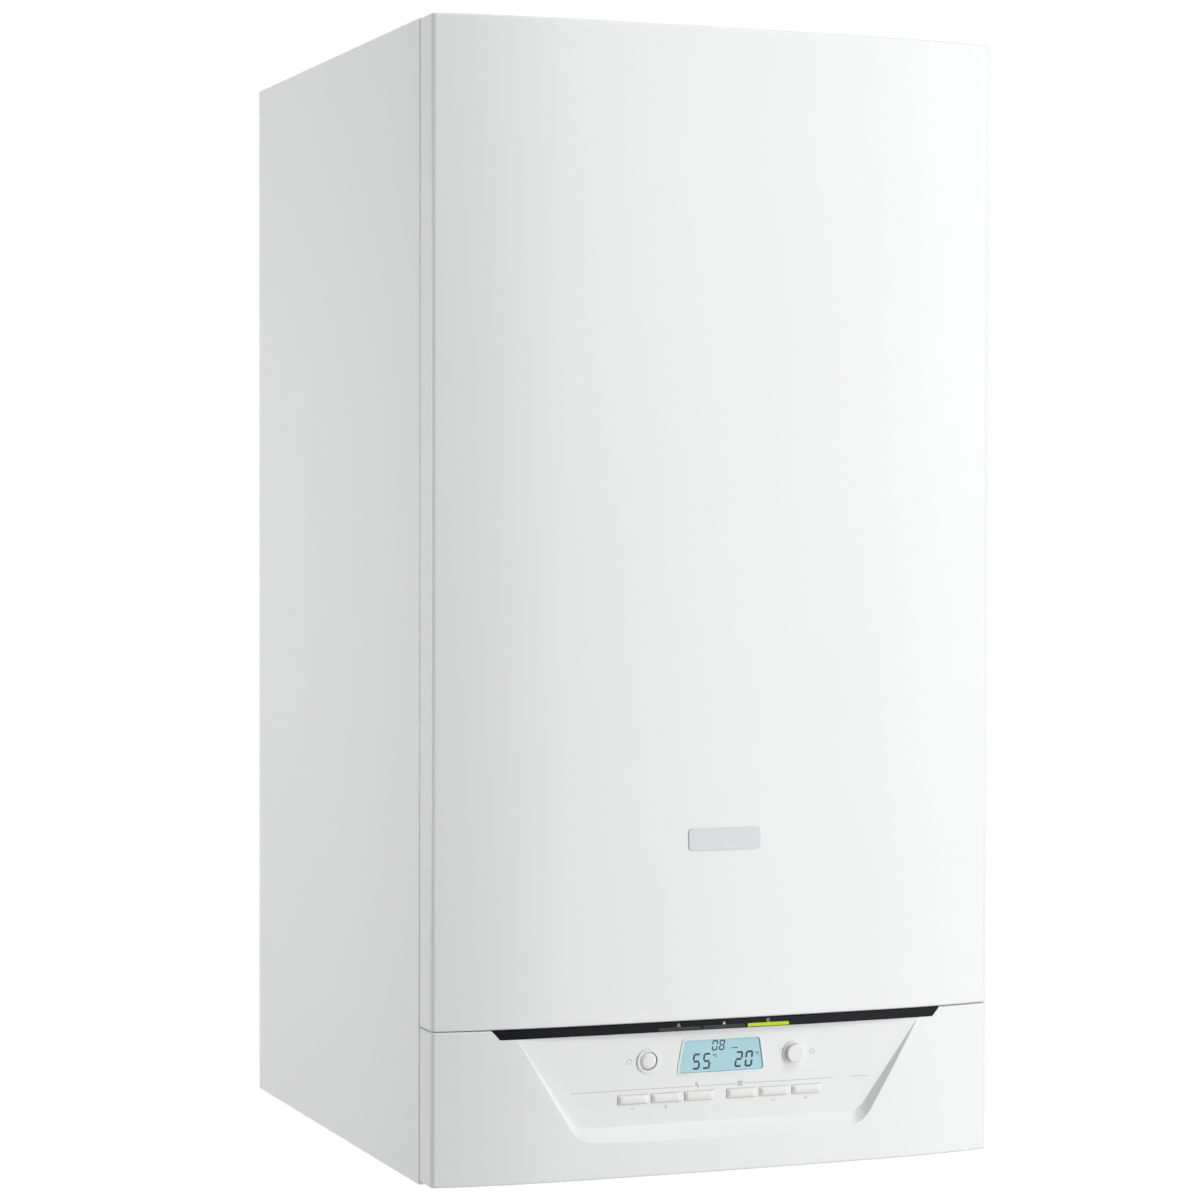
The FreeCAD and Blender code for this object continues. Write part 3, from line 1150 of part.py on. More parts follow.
def make_pump():
    volute = rod(("pump_x", "pump_front", "pump_z"), "y", "pump_radius", "pump_width")
    neck = rod(("pump_x", "pipe_y", "pump_low"), "z", "pump_port", "pump_high - pump_low")
    room = rod(("pump_x", "pump_front + pump_wall", "pump_z"), "y", "pump_radius - pump_wall",
               "pump_width - 2 * pump_wall")
    bore = rod(("pump_x", "pipe_y", "pump_low - over"), "z", "pipe_radius",
               "pump_high - pump_low + 2 * over")
    seal = rod(("pump_x", "pump_front - over", "pump_z"), "y", "shaft_hole", "pump_wall + 2 * over")
    keep(cut(fuse(volute, neck), room, bore, seal), "pump_body")
    motor_front = "pump_front - pump_motor_length"
    motor = rod(("pump_x", motor_front, "pump_z"), "y", "pump_motor_radius", "pump_motor_length")
    cap = rod(("pump_x", f"{motor_front} - pump_cap", "pump_z"), "y", "pump_motor_radius - pump_cap_inset",
              "pump_cap")
    bearing = rod(("pump_x", "pump_front - pump_shaft_reach - bearing_end", "pump_z"), "y",
                  "shaft_radius + shaft_fit", "pump_shaft_reach + bearing_end")
    keep(cut(fuse(motor, cap), bearing), "pump_motor")


def make_safety_valve():
    clamp = rod(("pump_x", "pipe_y", "safety_z - clamp_half"), "z", "pipe_radius + clamp_wall",
                "2 * clamp_half")
    arm = rod(("pump_x", "safety_y", "safety_z"), "y", "safety_arm", "safety_forward")
    body = rod(("pump_x", "safety_y", "safety_low"), "z", "safety_radius", "safety_height - knob_gap")
    pipe_hole = rod(("pump_x", "pipe_y", "safety_z - clamp_half - over"), "z", "pipe_radius + shaft_fit",
                    "2 * (clamp_half + over)")
    stem_hole = rod(("pump_x", "safety_y", "knob_low - knob_stem - knob_stem_gap"), "z",
                    "shaft_radius + shaft_fit", "knob_stem + knob_stem_gap")
    keep(cut(fuse(clamp, arm, body), pipe_hole, stem_hole), "safety_valve")
    cap = rod(("pump_x", "safety_y", "knob_low"), "z", "knob_radius", "knob_height")
    stem = rod(("pump_x", "safety_y", "knob_low - knob_stem"), "z", "shaft_radius", "knob_stem + over")
    notches = [rod((f"pump_x + {across}", f"safety_y + {out}", "knob_low + notch_low"), "z",
                   "notch_radius", "knob_height")
               for across, out in ring_places("notch_count", "(knob_radius + notch_out)")]
    keep(fuse(cut(cap, *notches), stem), "safety_valve_knob")


def tap_pipe(across, top):
    """Straight pipe from a threaded connection under the casing."""
    return pipe([(across, "pipe_y", "-nipple_drop"), (across, "pipe_y", top)],
                "pipe_radius", "pipe_wall", "pipe_bend", True)


def cell_pipe(port_x, end, end_level):
    """Pipe from a heat cell port down to the crossing level, across and down to its end."""
    route = [(port_x, "cell_port_y", "cell_port_low"), (port_x, "cell_port_y", "cross_level"),
             (*end, "cross_level"), (*end, end_level)]
    return pipe(route, "pipe_radius", "pipe_wall", "pipe_bend")


def make_pipes():
    keep(tap_pipe("-2 * pipe_pitch", "diverter_low"), "flow_pipe")
    keep(tap_pipe("pump_x", "pump_low"), "return_pipe")
    hot = tap_pipe("-pipe_pitch", "plate_low")
    cold_route = [("pipe_pitch", "pipe_y", "-nipple_drop"), ("pipe_pitch", "pipe_y", "tank_port_low"),
                  ("pipe_pitch", "mid_front", "tank_port_low")]
    cold = pipe(cold_route, "pipe_radius", "pipe_wall", "pipe_bend", True)
    over_tanks = "tank_top + bridge_rise"
    bridge_route = [("-tank_x", "tank_y", "tank_top"), ("-tank_x", "tank_y", over_tanks),
                    ("tank_x", "tank_y", over_tanks), ("tank_x", "tank_y", "tank_top")]
    bridge = pipe(bridge_route, "pipe_radius", "pipe_wall", "bridge_bend")
    keep(group(hot, cold, bridge), "water_pipes")
    flow = cell_pipe("-pipe_pitch", ("-2 * pipe_pitch + flow_shift_x", "pipe_y - flow_shift_y"),
                     "diverter_top")
    back = cell_pipe("pipe_pitch", ("pump_x", "pipe_y"), "pump_high")
    bleed_route = [("bleed_x", "pipe_y", "diverter_top"),
                   ("bleed_x", "pipe_y", "diverter_top + bleed_leg"),
                   ("vessel_x", "pipe_y", "vessel_low - bleed_leg"), ("vessel_x", "pipe_y", "vessel_low")]
    bleed = pipe(bleed_route, "bleed_radius", "pipe_wall", "pipe_bend")
    keep(group(flow, back, bleed), "exchanger_pipes")


def make_wire_loom():
    route = [("loom_x", "loom_rear", "floor_top"), ("loom_x", "loom_rear", "loom_level"),
             ("loom_x", "loom_front", "loom_level"), ("loom_x", "loom_front", "fan_z"),
             ("fan_offset + fan_motor_radius + pipe_fit", "loom_front", "fan_z")]
    keep(pipe(route, "loom_radius", "loom_wall", "pipe_bend"), "wire_loom")


def build_all():
    make_front_cover()
    make_cover_seal()
    make_badge_plate()
    make_side_panel("left_side_panel", -1)
    make_side_panel("right_side_panel", 1)
    make_top_panel()
    make_base_panel()
    make_rear_frame()
    make_mid_frame()
    make_wall_rail()
    make_hanger_bar()
    make_fixing_screws()
    make_cable_gland()
    make_indicator_strip()
    make_control_fascia()
    make_keys()
    make_buttons()
    make_display()
    make_key_board()
    make_control_box()
    make_control_box_lid()
    make_main_board()
    make_heat_exchanger()
    make_burner_door()
    make_burner()
    make_fan()
    make_wheels()
    make_gas_valve()
    make_air_intake()
    make_flue_duct()
    make_flue_collar()
    make_condensate()
    make_storage_tanks()
    make_expansion_vessel()
    make_plate_exchanger()
    make_diverter()
    make_pump()
    make_safety_valve()
    make_pipes()
    make_wire_loom()


def check_all():
    """Stop unless every object recomputed and every piece is a valid solid."""
    faults = [f"{item.Name} ({item.Label}) {item.State}" for item in doc.Objects
              if "Invalid" in item.State or "Error" in item.State]
    faults += [f"{item.Label} has no valid solid" for item in pieces
               if item.Shape.isNull() or not item.Shape.isValid() or not item.Shape.Solids]
    if faults:
        raise RuntimeError("; ".join(faults))


build_all()
doc.recompute()
check_all()
os.makedirs("parts", exist_ok=True)
for item in pieces:
    item.Shape.exportStep(f"parts/{item.Label}.step")
    print(item.Label, len(item.Shape.Solids), round(item.Shape.Volume))
print(len(pieces), "pieces")
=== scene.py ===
import json
import math
import bmesh
import bpy
from mathutils import Matrix, Vector


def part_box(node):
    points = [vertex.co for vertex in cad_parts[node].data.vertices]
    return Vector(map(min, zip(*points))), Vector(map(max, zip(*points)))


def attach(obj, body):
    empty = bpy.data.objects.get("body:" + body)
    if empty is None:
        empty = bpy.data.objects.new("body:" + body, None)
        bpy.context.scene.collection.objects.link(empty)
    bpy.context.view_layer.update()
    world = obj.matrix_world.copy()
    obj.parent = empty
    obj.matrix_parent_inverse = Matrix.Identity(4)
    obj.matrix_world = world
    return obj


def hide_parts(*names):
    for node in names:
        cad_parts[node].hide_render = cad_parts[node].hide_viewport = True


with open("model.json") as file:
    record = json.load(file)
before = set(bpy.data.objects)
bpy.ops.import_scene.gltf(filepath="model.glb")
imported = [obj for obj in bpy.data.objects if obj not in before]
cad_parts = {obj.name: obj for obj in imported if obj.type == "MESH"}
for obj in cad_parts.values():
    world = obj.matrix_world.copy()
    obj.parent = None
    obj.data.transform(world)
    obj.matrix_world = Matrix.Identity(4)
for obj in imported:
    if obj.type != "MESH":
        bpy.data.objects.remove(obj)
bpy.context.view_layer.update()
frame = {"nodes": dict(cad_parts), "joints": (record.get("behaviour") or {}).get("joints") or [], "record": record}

# Wall-hung condensing boiler: finishes, drain hose, key caps, printed marks, studio and camera.
# Metres, in the frame of the solids: X to the right, -Y to the front, Z up.

MM = 0.001
nodes = frame["nodes"]
subparts = frame["record"]["subparts"]
joints = {joint["name"]: joint for joint in frame["joints"]}

# Angle in degrees from which a smooth piece keeps a crease
CREASE = 50


def new_piece(name, mesh, material):
    """Object of a mesh with one material, put into the scene."""
    mesh.materials.append(material)
    piece = bpy.data.objects.new(name, mesh)
    bpy.context.collection.objects.link(piece)
    return piece


def smooth(mesh):
    """Smooth shading that keeps the creases."""
    mesh.shade_smooth()
    mesh.set_sharp_from_angle(angle=math.radians(CREASE))


# Node materials

def new_material(name):
    """New material, its node tree and its principled surface."""
    material = bpy.data.materials.new(name)
    material.use_nodes = True
    tree = material.node_tree
    return material, tree, tree.nodes["Principled BSDF"]


def object_place(tree):
    """The object's own coordinates."""
    return tree.nodes.new("ShaderNodeTexCoord").outputs["Object"]


def object_noise(tree, scale, detail=2.0, stretch=(1, 1, 1)):
    """Noise in the object's own coordinates, optionally stretched along an axis."""
    mapping = tree.nodes.new("ShaderNodeMapping")
    mapping.inputs["Scale"].default_value = stretch
    noise = tree.nodes.new("ShaderNodeTexNoise")
    noise.inputs["Scale"].default_value = scale
    noise.inputs["Detail"].default_value = detail
    tree.links.new(object_place(tree), mapping.inputs["Vector"])
    tree.links.new(mapping.outputs["Vector"], noise.inputs["Vector"])
    return noise.outputs["Fac"]


def ramp(tree, source, low, high, start=0.3, stop=0.7):
    """Colour from low to high as the source goes from start to stop."""
    node = tree.nodes.new("ShaderNodeValToRGB")
    node.color_ramp.elements[0].position = start
    node.color_ramp.elements[0].color = (*low, 1)
    node.color_ramp.elements[1].position = stop
    node.color_ramp.elements[1].color = (*high, 1)
    tree.links.new(source, node.inputs["Fac"])
    return node.outputs["Color"]


def uneven_gloss(tree, surface, source, low, high):
    """Roughness from low to high by the source."""
    node = tree.nodes.new("ShaderNodeMapRange")
    node.inputs["To Min"].default_value = low
    node.inputs["To Max"].default_value = high
    tree.links.new(source, node.inputs["Value"])
    tree.links.new(node.outputs["Result"], surface.inputs["Roughness"])


def bump(tree, surface, source, strength, distance):
    node = tree.nodes.new("ShaderNodeBump")
    node.inputs["Strength"].default_value = strength
    node.inputs["Distance"].default_value = distance
    tree.links.new(source, node.inputs["Height"])
    tree.links.new(node.outputs["Normal"], surface.inputs["Normal"])


def shade(colour, factor):
    return tuple(channel * factor for channel in colour)


def coated(name, colour, rough=0.34, grain=1400, depth=0.02, coat=0.0, vary=0.97, gloss=0.5):
    """Paint or moulded plastic: faint tone change, uneven gloss and a fine grain, depth in millimetres."""
    material, tree, surface = new_material(name)
    broad = object_noise(tree, scale=6, detail=3)
    fine = object_noise(tree, scale=grain)
    tree.links.new(ramp(tree, broad, shade(colour, vary), colour), surface.inputs["Base Color"])
    uneven_gloss(tree, surface, fine, rough - 0.05, rough + 0.05)
    surface.inputs["Specular IOR Level"].default_value = gloss
    surface.inputs["Coat Weight"].default_value = coat
    surface.inputs["Coat Roughness"].default_value = 0.08
    bump(tree, surface, fine, strength=0.12, distance=depth * MM)
    return material


def metal(name, colour, rough=0.32, stretch=(1, 1, 1), grain=220, vary=0.8, depth=0.03):
    """Bare metal with a cast or drawn grain, depth in millimetres."""
    material, tree, surface = new_material(name)
    broad = object_noise(tree, scale=18, detail=4)
    fine = object_noise(tree, scale=grain, detail=3, stretch=stretch)
    tree.links.new(ramp(tree, broad, shade(colour, vary), colour), surface.inputs["Base Color"])
    uneven_gloss(tree, surface, fine, rough - 0.1, rough + 0.12)
    surface.inputs["Metallic"].default_value = 1.0
    bump(tree, surface, fine, strength=0.15, distance=depth * MM)
    return material


def galvanised_sheet():
    """Zinc coated sheet with its crystal spangle."""
    material, tree, surface = new_material("galvanised_sheet")
    spangle = tree.nodes.new("ShaderNodeTexVoronoi")
    spangle.inputs["Scale"].default_value = 210
    tree.links.new(object_place(tree), spangle.inputs["Vector"])
    tone = ramp(tree, spangle.outputs["Color"], (0.48, 0.495, 0.51), (0.57, 0.585, 0.595), 0.1, 0.9)
    tree.links.new(tone, surface.inputs["Base Color"])
    fine = object_noise(tree, scale=260, detail=3)
    uneven_gloss(tree, surface, fine, 0.28, 0.5)
    surface.inputs["Metallic"].default_value = 1.0
    bump(tree, surface, fine, strength=0.1, distance=0.03 * MM)
    return material


def light_lens():
    """Three lenses in one part: the right-hand one is lit, the others are grey."""
    lit_from = 18.7 * MM
    material, tree, surface = new_material("light_lens")
    axes = tree.nodes.new("ShaderNodeSeparateXYZ")
    tree.links.new(object_place(tree), axes.inputs["Vector"])
    lit = tree.nodes.new("ShaderNodeMath")
    lit.operation = "GREATER_THAN"
    lit.inputs[1].default_value = lit_from
    tree.links.new(axes.outputs["X"], lit.inputs[0])
    body = ramp(tree, lit.outputs["Value"], (0.035, 0.04, 0.042), (0.46, 0.57, 0.015), 0.4, 0.6)
    glow = ramp(tree, lit.outputs["Value"], (0, 0, 0), (0.52, 0.66, 0.0), 0.4, 0.6)
    tree.links.new(body, surface.inputs["Base Color"])
    tree.links.new(glow, surface.inputs["Emission Color"])
    surface.inputs["Emission Strength"].default_value = 0.2
    surface.inputs["Specular IOR Level"].default_value = 0.12
    uneven_gloss(tree, surface, object_noise(tree, scale=900), 0.2, 0.32)
    return material


def display_face():
    """Pale blue liquid-crystal face under a clear coat, lit from behind."""
    material, tree, surface = new_material("display_face")
    tone = ramp(tree, object_noise(tree, scale=30), (0.33, 0.57, 0.62), (0.36, 0.61, 0.66))
    tree.links.new(tone, surface.inputs["Base Color"])
    tree.links.new(tone, surface.inputs["Emission Color"])
    surface.inputs["Emission Strength"].default_value = 0.12
    uneven_gloss(tree, surface, object_noise(tree, scale=700), 0.3, 0.4)
    surface.inputs["Specular IOR Level"].default_value = 0.3
    surface.inputs["Coat Weight"].default_value = 0.12
    surface.inputs["Coat Roughness"].default_value = 0.05
    return material


def circuit_board():
    """Green solder resist with copper tracks showing through."""
    material, tree, surface = new_material("circuit_board")
    upright = tree.nodes.new("ShaderNodeMapping")
    upright.inputs["Rotation"].default_value = (math.radians(90), 0, 0)
    tracks = tree.nodes.new("ShaderNodeTexBrick")
    tracks.inputs["Scale"].default_value = 60
    tracks.inputs["Mortar Size"].default_value = 0.03
    tracks.inputs["Color1"].default_value = (0.015, 0.12, 0.045, 1)
    tracks.inputs["Color2"].default_value = (0.02, 0.15, 0.06, 1)
    tracks.inputs["Mortar"].default_value = (0.08, 0.25, 0.10, 1)
    tree.links.new(object_place(tree), upright.inputs["Vector"])
    tree.links.new(upright.outputs["Vector"], tracks.inputs["Vector"])
    tree.links.new(tracks.outputs["Color"], surface.inputs["Base Color"])
    uneven_gloss(tree, surface, object_noise(tree, scale=500), 0.3, 0.45)
    return material


# Painted and moulded finishes, by material slot
WHITE = (0.83, 0.835, 0.835)
COATED = {
    "white_paint": dict(colour=WHITE, rough=0.33, grain=1100, coat=0.05, vary=0.985),
    "white_plastic": dict(colour=WHITE, rough=0.35, grain=1600, vary=0.985),
    "badge_silver": dict(colour=(0.70, 0.71, 0.72), rough=0.4, grain=900, coat=0.1, vary=0.96),
    "black_gloss": dict(colour=(0.008, 0.011, 0.011), rough=0.3, grain=900, depth=0.01, vary=0.8,
                        gloss=0.06),
    "display_body": dict(colour=(0.30, 0.50, 0.54), rough=0.4),
    "key_white": dict(colour=(0.84, 0.84, 0.835), rough=0.42, grain=1800, vary=0.98),
    "key_cream": dict(colour=(0.84, 0.835, 0.805), rough=0.42, grain=1800, vary=0.98),
    "black_plastic": dict(colour=(0.025, 0.025, 0.028), rough=0.5, grain=700, depth=0.05, vary=0.8),
    "grey_plastic": dict(colour=(0.24, 0.25, 0.26), rough=0.48, grain=700, depth=0.05, vary=0.9),
    "red_plastic": dict(colour=(0.45, 0.02, 0.015), rough=0.35, grain=800, depth=0.03, coat=0.1, vary=0.85),
    "vessel_red": dict(colour=(0.36, 0.03, 0.025), rough=0.35, grain=500, depth=0.04, coat=0.2, vary=0.85),
    "pump_iron": dict(colour=(0.07, 0.075, 0.08), rough=0.5, grain=350, depth=0.15, vary=0.8),
    "foam": dict(colour=(0.50, 0.505, 0.51), rough=0.8, grain=900, depth=0.15, vary=0.9),
    "hose_grey": dict(colour=(0.12, 0.125, 0.13), rough=0.55, grain=500, depth=0.08, vary=0.85),
    "ceramic_white": dict(colour=(0.78, 0.77, 0.74), rough=0.2, grain=400, coat=0.5, vary=0.95),
}

# Bare metals, by material slot
METALS = {
    "zinc_screw": dict(colour=(0.62, 0.62, 0.58), rough=0.35),
    "stainless": dict(colour=(0.42, 0.42, 0.415), rough=0.36, stretch=(1, 1, 30), grain=120),
    "cast_aluminium": dict(colour=(0.36, 0.365, 0.37), rough=0.6, grain=600, vary=0.85, depth=0.15),
    "copper": dict(colour=(0.70, 0.33, 0.19), rough=0.3, stretch=(8, 8, 1), grain=160, vary=0.7),
    "brass": dict(colour=(0.68, 0.50, 0.22), rough=0.3, grain=300, vary=0.85),
}


def slot_materials():
    materials = {slot: coated(slot, **look) for slot, look in COATED.items()}
    materials.update({slot: metal(slot, **look) for slot, look in METALS.items()})
    materials["galvanised"] = galvanised_sheet()
    materials["light_lens"] = light_lens()
    materials["display_glass"] = display_face()
    materials["board_green"] = circuit_board()
    return materials


def dress_nodes(materials):
    for part in subparts:
        mesh = nodes[part["node"]].data
        mesh.materials.clear()
        mesh.materials.append(materials[part["material_slot"]])


# Ribbed hose between the heat cell's drain and the trap, in the room of its plain solid

HOSE_WALL = 2 * MM
HOSE_CUFF = 14 * MM
HOSE_SIDES = 48
RIB_PITCH = 5 * MM
RIB_DEPTH = 1.3 * MM
RIB_SAMPLES = 8


def hose_profile(length, radius):
    """Half section of the hose as (radius, height): ribbed outside with plain cuffs, smooth bore."""
    ribbed = length - 2 * HOSE_CUFF
    samples = round(ribbed / RIB_PITCH) * RIB_SAMPLES
    outside = [(radius, 0)]
    for index in range(samples + 1):
        sunk = RIB_DEPTH * (1 - math.cos(2 * math.pi * index / RIB_SAMPLES)) / 2
        outside.append((radius - sunk, HOSE_CUFF + index * ribbed / samples))
    outside.append((radius, length))
    bore = radius - HOSE_WALL
    return outside + [(bore, length), (bore, 0)]


def make_hose(material):
    low, high = (Vector(corner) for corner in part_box("condensate_hose"))
    centre = (low + high) / 2
    profile = hose_profile(high.z - low.z, (high.x - low.x) / 2)
    count = len(profile)
    vertices = []
    faces = []
    for side in range(HOSE_SIDES):
        angle = 2 * math.pi * side / HOSE_SIDES
        right = math.cos(angle)
        back = math.sin(angle)
        for radius, height in profile:
            vertices.append((centre.x + right * radius, centre.y + back * radius, low.z + height))
        first = side * count
        second = (side + 1) % HOSE_SIDES * count
        for index in range(count):
            after = (index + 1) % count
            faces.append((first + index, second + index, second + after, first + after))
    mesh = bpy.data.meshes.new("drain_hose")
    mesh.from_pydata(vertices, [], faces)
    smooth(mesh)
    hose = new_piece("drain_hose", mesh, material)
    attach(hose, "casing")
    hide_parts("condensate_hose")


# Tilted plane of the recessed control surface: its lowest line, its inward and its upward direction

PANEL_FOOT = Vector((0, -501 * MM, 41 * MM))
PANEL_IN = Vector(joints["menu_key_press"]["axis"]).normalized()
PANEL_UP = PANEL_IN.cross(Vector((-1, 0, 0))).normalized()


def on_panel(across, up, out):
    """Point of the tilted control surface, out metres in front of it."""
    return PANEL_FOOT + Vector((across, 0, 0)) + PANEL_UP * up - PANEL_IN * out


# Crowned key caps, in the place of the flat-topped solids

# Face: size, middle above the panel's foot, height at the crown and at the rim, sloped ends, arch's power
KEY_WIDTH = 25 * MM
KEY_HEIGHT = 7.3 * MM
KEY_UP = 20.6 * MM
KEY_STAND = 2.1 * MM
KEY_RIM = 0.4 * MM
KEY_SLOPE = 3.4 * MM
KEY_ARCH = 2.4

# Flange behind the panel: how far it reaches out, and the levels of its front and of the key's back
KEY_FLANGE = 1.2 * MM
KEY_FLANGE_TOP = -2.9 * MM
KEY_BACK = -5.4 * MM


def key_height(across, up):
    """How far the cap stands out at a point of its face: sloped ends and an arched section."""
    inside = min(1, (KEY_WIDTH / 2 - abs(across)) / KEY_SLOPE)
    end = math.sin(math.pi / 2 * max(0, inside))
    arch = math.sqrt(max(0, 1 - abs(2 * up / KEY_HEIGHT) ** KEY_ARCH))
    return KEY_RIM + (KEY_STAND - KEY_RIM) * end * arch


def open_edges(form):
    return [edge for edge in form.edges if edge.is_boundary]


def key_form(middle):
    """Mesh of one cap round the given X: arched face, sides, flange, and a back that closes it."""
    form = bmesh.new()
    bmesh.ops.create_grid(form, x_segments=48, y_segments=20, size=0.5)
    for vertex in form.verts:
        across = vertex.co.x * KEY_WIDTH
        up = vertex.co.y * KEY_HEIGHT
        vertex.co = (across, up, key_height(across, up))
    for grow, level in ((0, KEY_FLANGE_TOP), (KEY_FLANGE, KEY_FLANGE_TOP), (0, KEY_BACK)):
        skirt = bmesh.ops.extrude_edge_only(form, edges=open_edges(form))["geom"]
        for vertex in (item for item in skirt if isinstance(item, bmesh.types.BMVert)):
            vertex.co.x *= 1 + 2 * grow / KEY_WIDTH
            vertex.co.y *= 1 + 2 * grow / KEY_HEIGHT
            vertex.co.z = level
    bmesh.ops.holes_fill(form, edges=open_edges(form), sides=0)
    bmesh.ops.recalc_face_normals(form, faces=form.faces)
    for vertex in form.verts:
        vertex.co = on_panel(middle + vertex.co.x, KEY_UP + vertex.co.y, vertex.co.z)
    return form


def make_key_cap(part, material):
    node = part["node"]
    low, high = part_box(node)
    name = f"{node}_cap"
    mesh = bpy.data.meshes.new(name)
    form = key_form((low[0] + high[0]) / 2)
    form.to_mesh(mesh)
    form.free()
    smooth(mesh)
    cap = new_piece(name, mesh, material)
    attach(cap, node)
    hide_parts(node)


def make_key_caps(materials):
    for part in subparts:
        if part["node"].endswith("_key"):
            make_key_cap(part, materials[part["material_slot"]])


# Printed marks, cut as thin plates that lie on their surface; their outlines are in millimetres

PRINT_THICK = 0.06 * MM


def plates(name, outlines, place, out, material):
    """One piece of thin closed plates: each outline is extruded outward from its surface."""
    vertices = []
    faces = []
    for outline in outlines:
        first = len(vertices)
        count = len(outline)
        for level in (out, out + PRINT_THICK):
            vertices += [place(across * MM, up * MM, level) for across, up in outline]
        faces.append([first + index for index in reversed(range(count))])
        faces.append([first + count + index for index in range(count)])
        for index in range(count):
            after = (index + 1) % count
            faces.append([first + index, first + after, first + count + after, first + count + index])
    mesh = bpy.data.meshes.new(name)
    mesh.from_pydata(vertices, [], faces)
    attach(new_piece(name, mesh, material), "control_panel")


def bar(left, low, right, high):
    return [(left, low), (right, low), (right, high), (left, high)]


def sector(centre, inner, outer, start, stop, steps):
    """Part of a flat ring, cut into four-sided tiles; angles in degrees from the right, turning left."""
    angles = [math.radians(start + (stop - start) * index / steps) for index in range(steps + 1)]
    tiles = []
    for near, far in zip(angles, angles[1:]):
        ring = ((inner, near), (outer, near), (outer, far), (inner, far))
        tiles.append([(centre[0] + radius * math.cos(angle), centre[1] + radius * math.sin(angle))
                      for radius, angle in ring])
    return tiles


def moved(outlines, across, up, size=1.0):
    return [[(across + x * size, up + y * size) for x, y in outline] for outline in outlines]


# Seven-segment figures: which of the seven bars each figure lights
FIGURES = {"0": "abcdef", "2": "abdeg", "5": "acdfg", "8": "abcdefg"}


def figure(character, width, height, weight):
    """Bars of one figure with its lower left corner at the origin, slanted a little."""
    half = height / 2
    inset = weight * 0.6
    flat = {"a": height - weight, "g": half - weight / 2, "d": 0.0}
    upright = {"f": (0, half), "b": (width - weight, half), "e": (0, 0), "c": (width - weight, 0)}
    outlines = []
    for name in FIGURES[character]:
        if name in flat:
            low = flat[name]
            outlines.append(bar(inset, low, width - inset, low + weight))
        else:
            left, low = upright[name]
            outlines.append(bar(left, low + inset, left + weight, low + half - inset))
    lean = 0.08
    return [[(x + y * lean, y) for x, y in outline] for outline in outlines]


def written(text, across, up, width, height, weight, pitch):
    outlines = []
    for index, character in enumerate(text):
        outlines += moved(figure(character, width, height, weight), across + index * pitch, up)
    return outlines


def degree_mark(across, up, size):
    ring = sector((0, 0), 0.12, 0.26, 0, 360, 12)
    letter = sector((0.75, -0.25), 0.28, 0.45, 50, 310, 12)
    return moved(ring + letter, across, up, size)


def make_display_marks(ink):
    sunk = 0.4 * MM
    degree_right = 18.2
    marks = []
    for number, left in (("55", -24.5), ("20", 11.3)):
        marks += written(number, left, 41, width=6.4, height=12.8, weight=1.6, pitch=8.6)
        marks += degree_mark(left + degree_right, 52, 2.6)
    marks += written("08", -8.2, 55.3, width=4.6, height=8.3, weight=1.05, pitch=6)
    marks.append(bar(8.6, 56.4, 13.8, 57.1))
    plates("display_figures", marks, on_panel, -sunk, ink)


def tap_sign():
    return [bar(-1.8, 0.2, 1.0, 1.2), bar(0.2, -1.6, 1.0, 0.2), bar(-1.2, 1.2, -0.4, 2.0),
            bar(-1.9, 2.0, 0.3, 2.5)]


def radiator_sign():
    columns = [bar(-1.9 + index, -1.6, -1.3 + index, 1.8) for index in range(4)]
    return columns + [bar(-1.9, 1.2, 1.7, 1.5), bar(-1.9, -1.3, 1.7, -1.0)]


def power_sign():
    return sector((0, 0), 1.6, 2.1, 120, 420, 24) + [bar(-0.25, 0.5, 0.25, 2.6)]


def reset_sign():
    head = [(1.0, 1.0), (2.7, 1.0), (1.85, -0.6)]
    return sector((0, 0), 1.6, 2.1, 25, 320, 24) + [head]


def minus_sign():
    return [bar(-1.7, -0.28, 1.7, 0.28)]


def plus_sign():
    return minus_sign() + [bar(-0.28, -1.7, 0.28, -0.28), bar(-0.28, 0.28, 0.28, 1.7)]


def make_panel_prints(grey):
    rule_up = 28.1
    rule_half = 0.22
    rule_runs = ((-124, -23), (-16.5, 13.5), (19.5, 96), (112, 128))
    marks = [bar(left, rule_up - rule_half, right, rule_up + rule_half) for left, right in rule_runs]
    sign_size = 1.15
    marks += moved(tap_sign(), -19.6, rule_up, sign_size)
    marks += moved(radiator_sign(), 16.6, rule_up, sign_size)
    label_up = 13.3
    for sign, places in ((minus_sign(), (-73.4, 45.6)), (plus_sign(), (-45.6, 73.4))):
        for across in places:
            marks += moved(sign, across, label_up)
    button_up = 50.4
    marks += moved(power_sign(), 77.5, button_up)
    marks += moved(reset_sign(), -77, button_up)
    plates("panel_prints", marks, on_panel, 0, grey)


# Bowed face of the black strip: where its crown is, and the radius of the bow
STRIP_CROWN = -510 * MM
STRIP_BOW = 5.0


def on_strip(across, up, out):
    """Point on the bowed black strip, up metres above the casing's bottom."""
    back = STRIP_BOW - math.sqrt(STRIP_BOW * STRIP_BOW - across * across)
    return Vector((across, STRIP_CROWN + back - out, up))


def triangle_sign():
    return [[(-2.2, -1.7), (2.2, -1.7), (1.9, -1.2), (-1.9, -1.2)],
            [(-2.2, -1.7), (-1.7, -1.7), (0.25, 1.8), (-0.1, 2.2)],
            [(2.2, -1.7), (0.1, 2.2), (-0.25, 1.8), (1.7, -1.7)],
            bar(-0.2, -0.6, 0.2, 0.8)]


def flame_sign():
    return [[(-1.3, -1.7), (1.3, -1.7), (1.6, -0.4), (0.9, 0.7), (0.1, 2.2), (-0.2, 0.9),
             (-1.0, 0.2), (-1.6, -0.5)]]


def ring_sign():
    return sector((0, 0), 1.3, 1.9, 0, 360, 20) + [bar(-0.25, 1.2, 0.25, 2.6)]


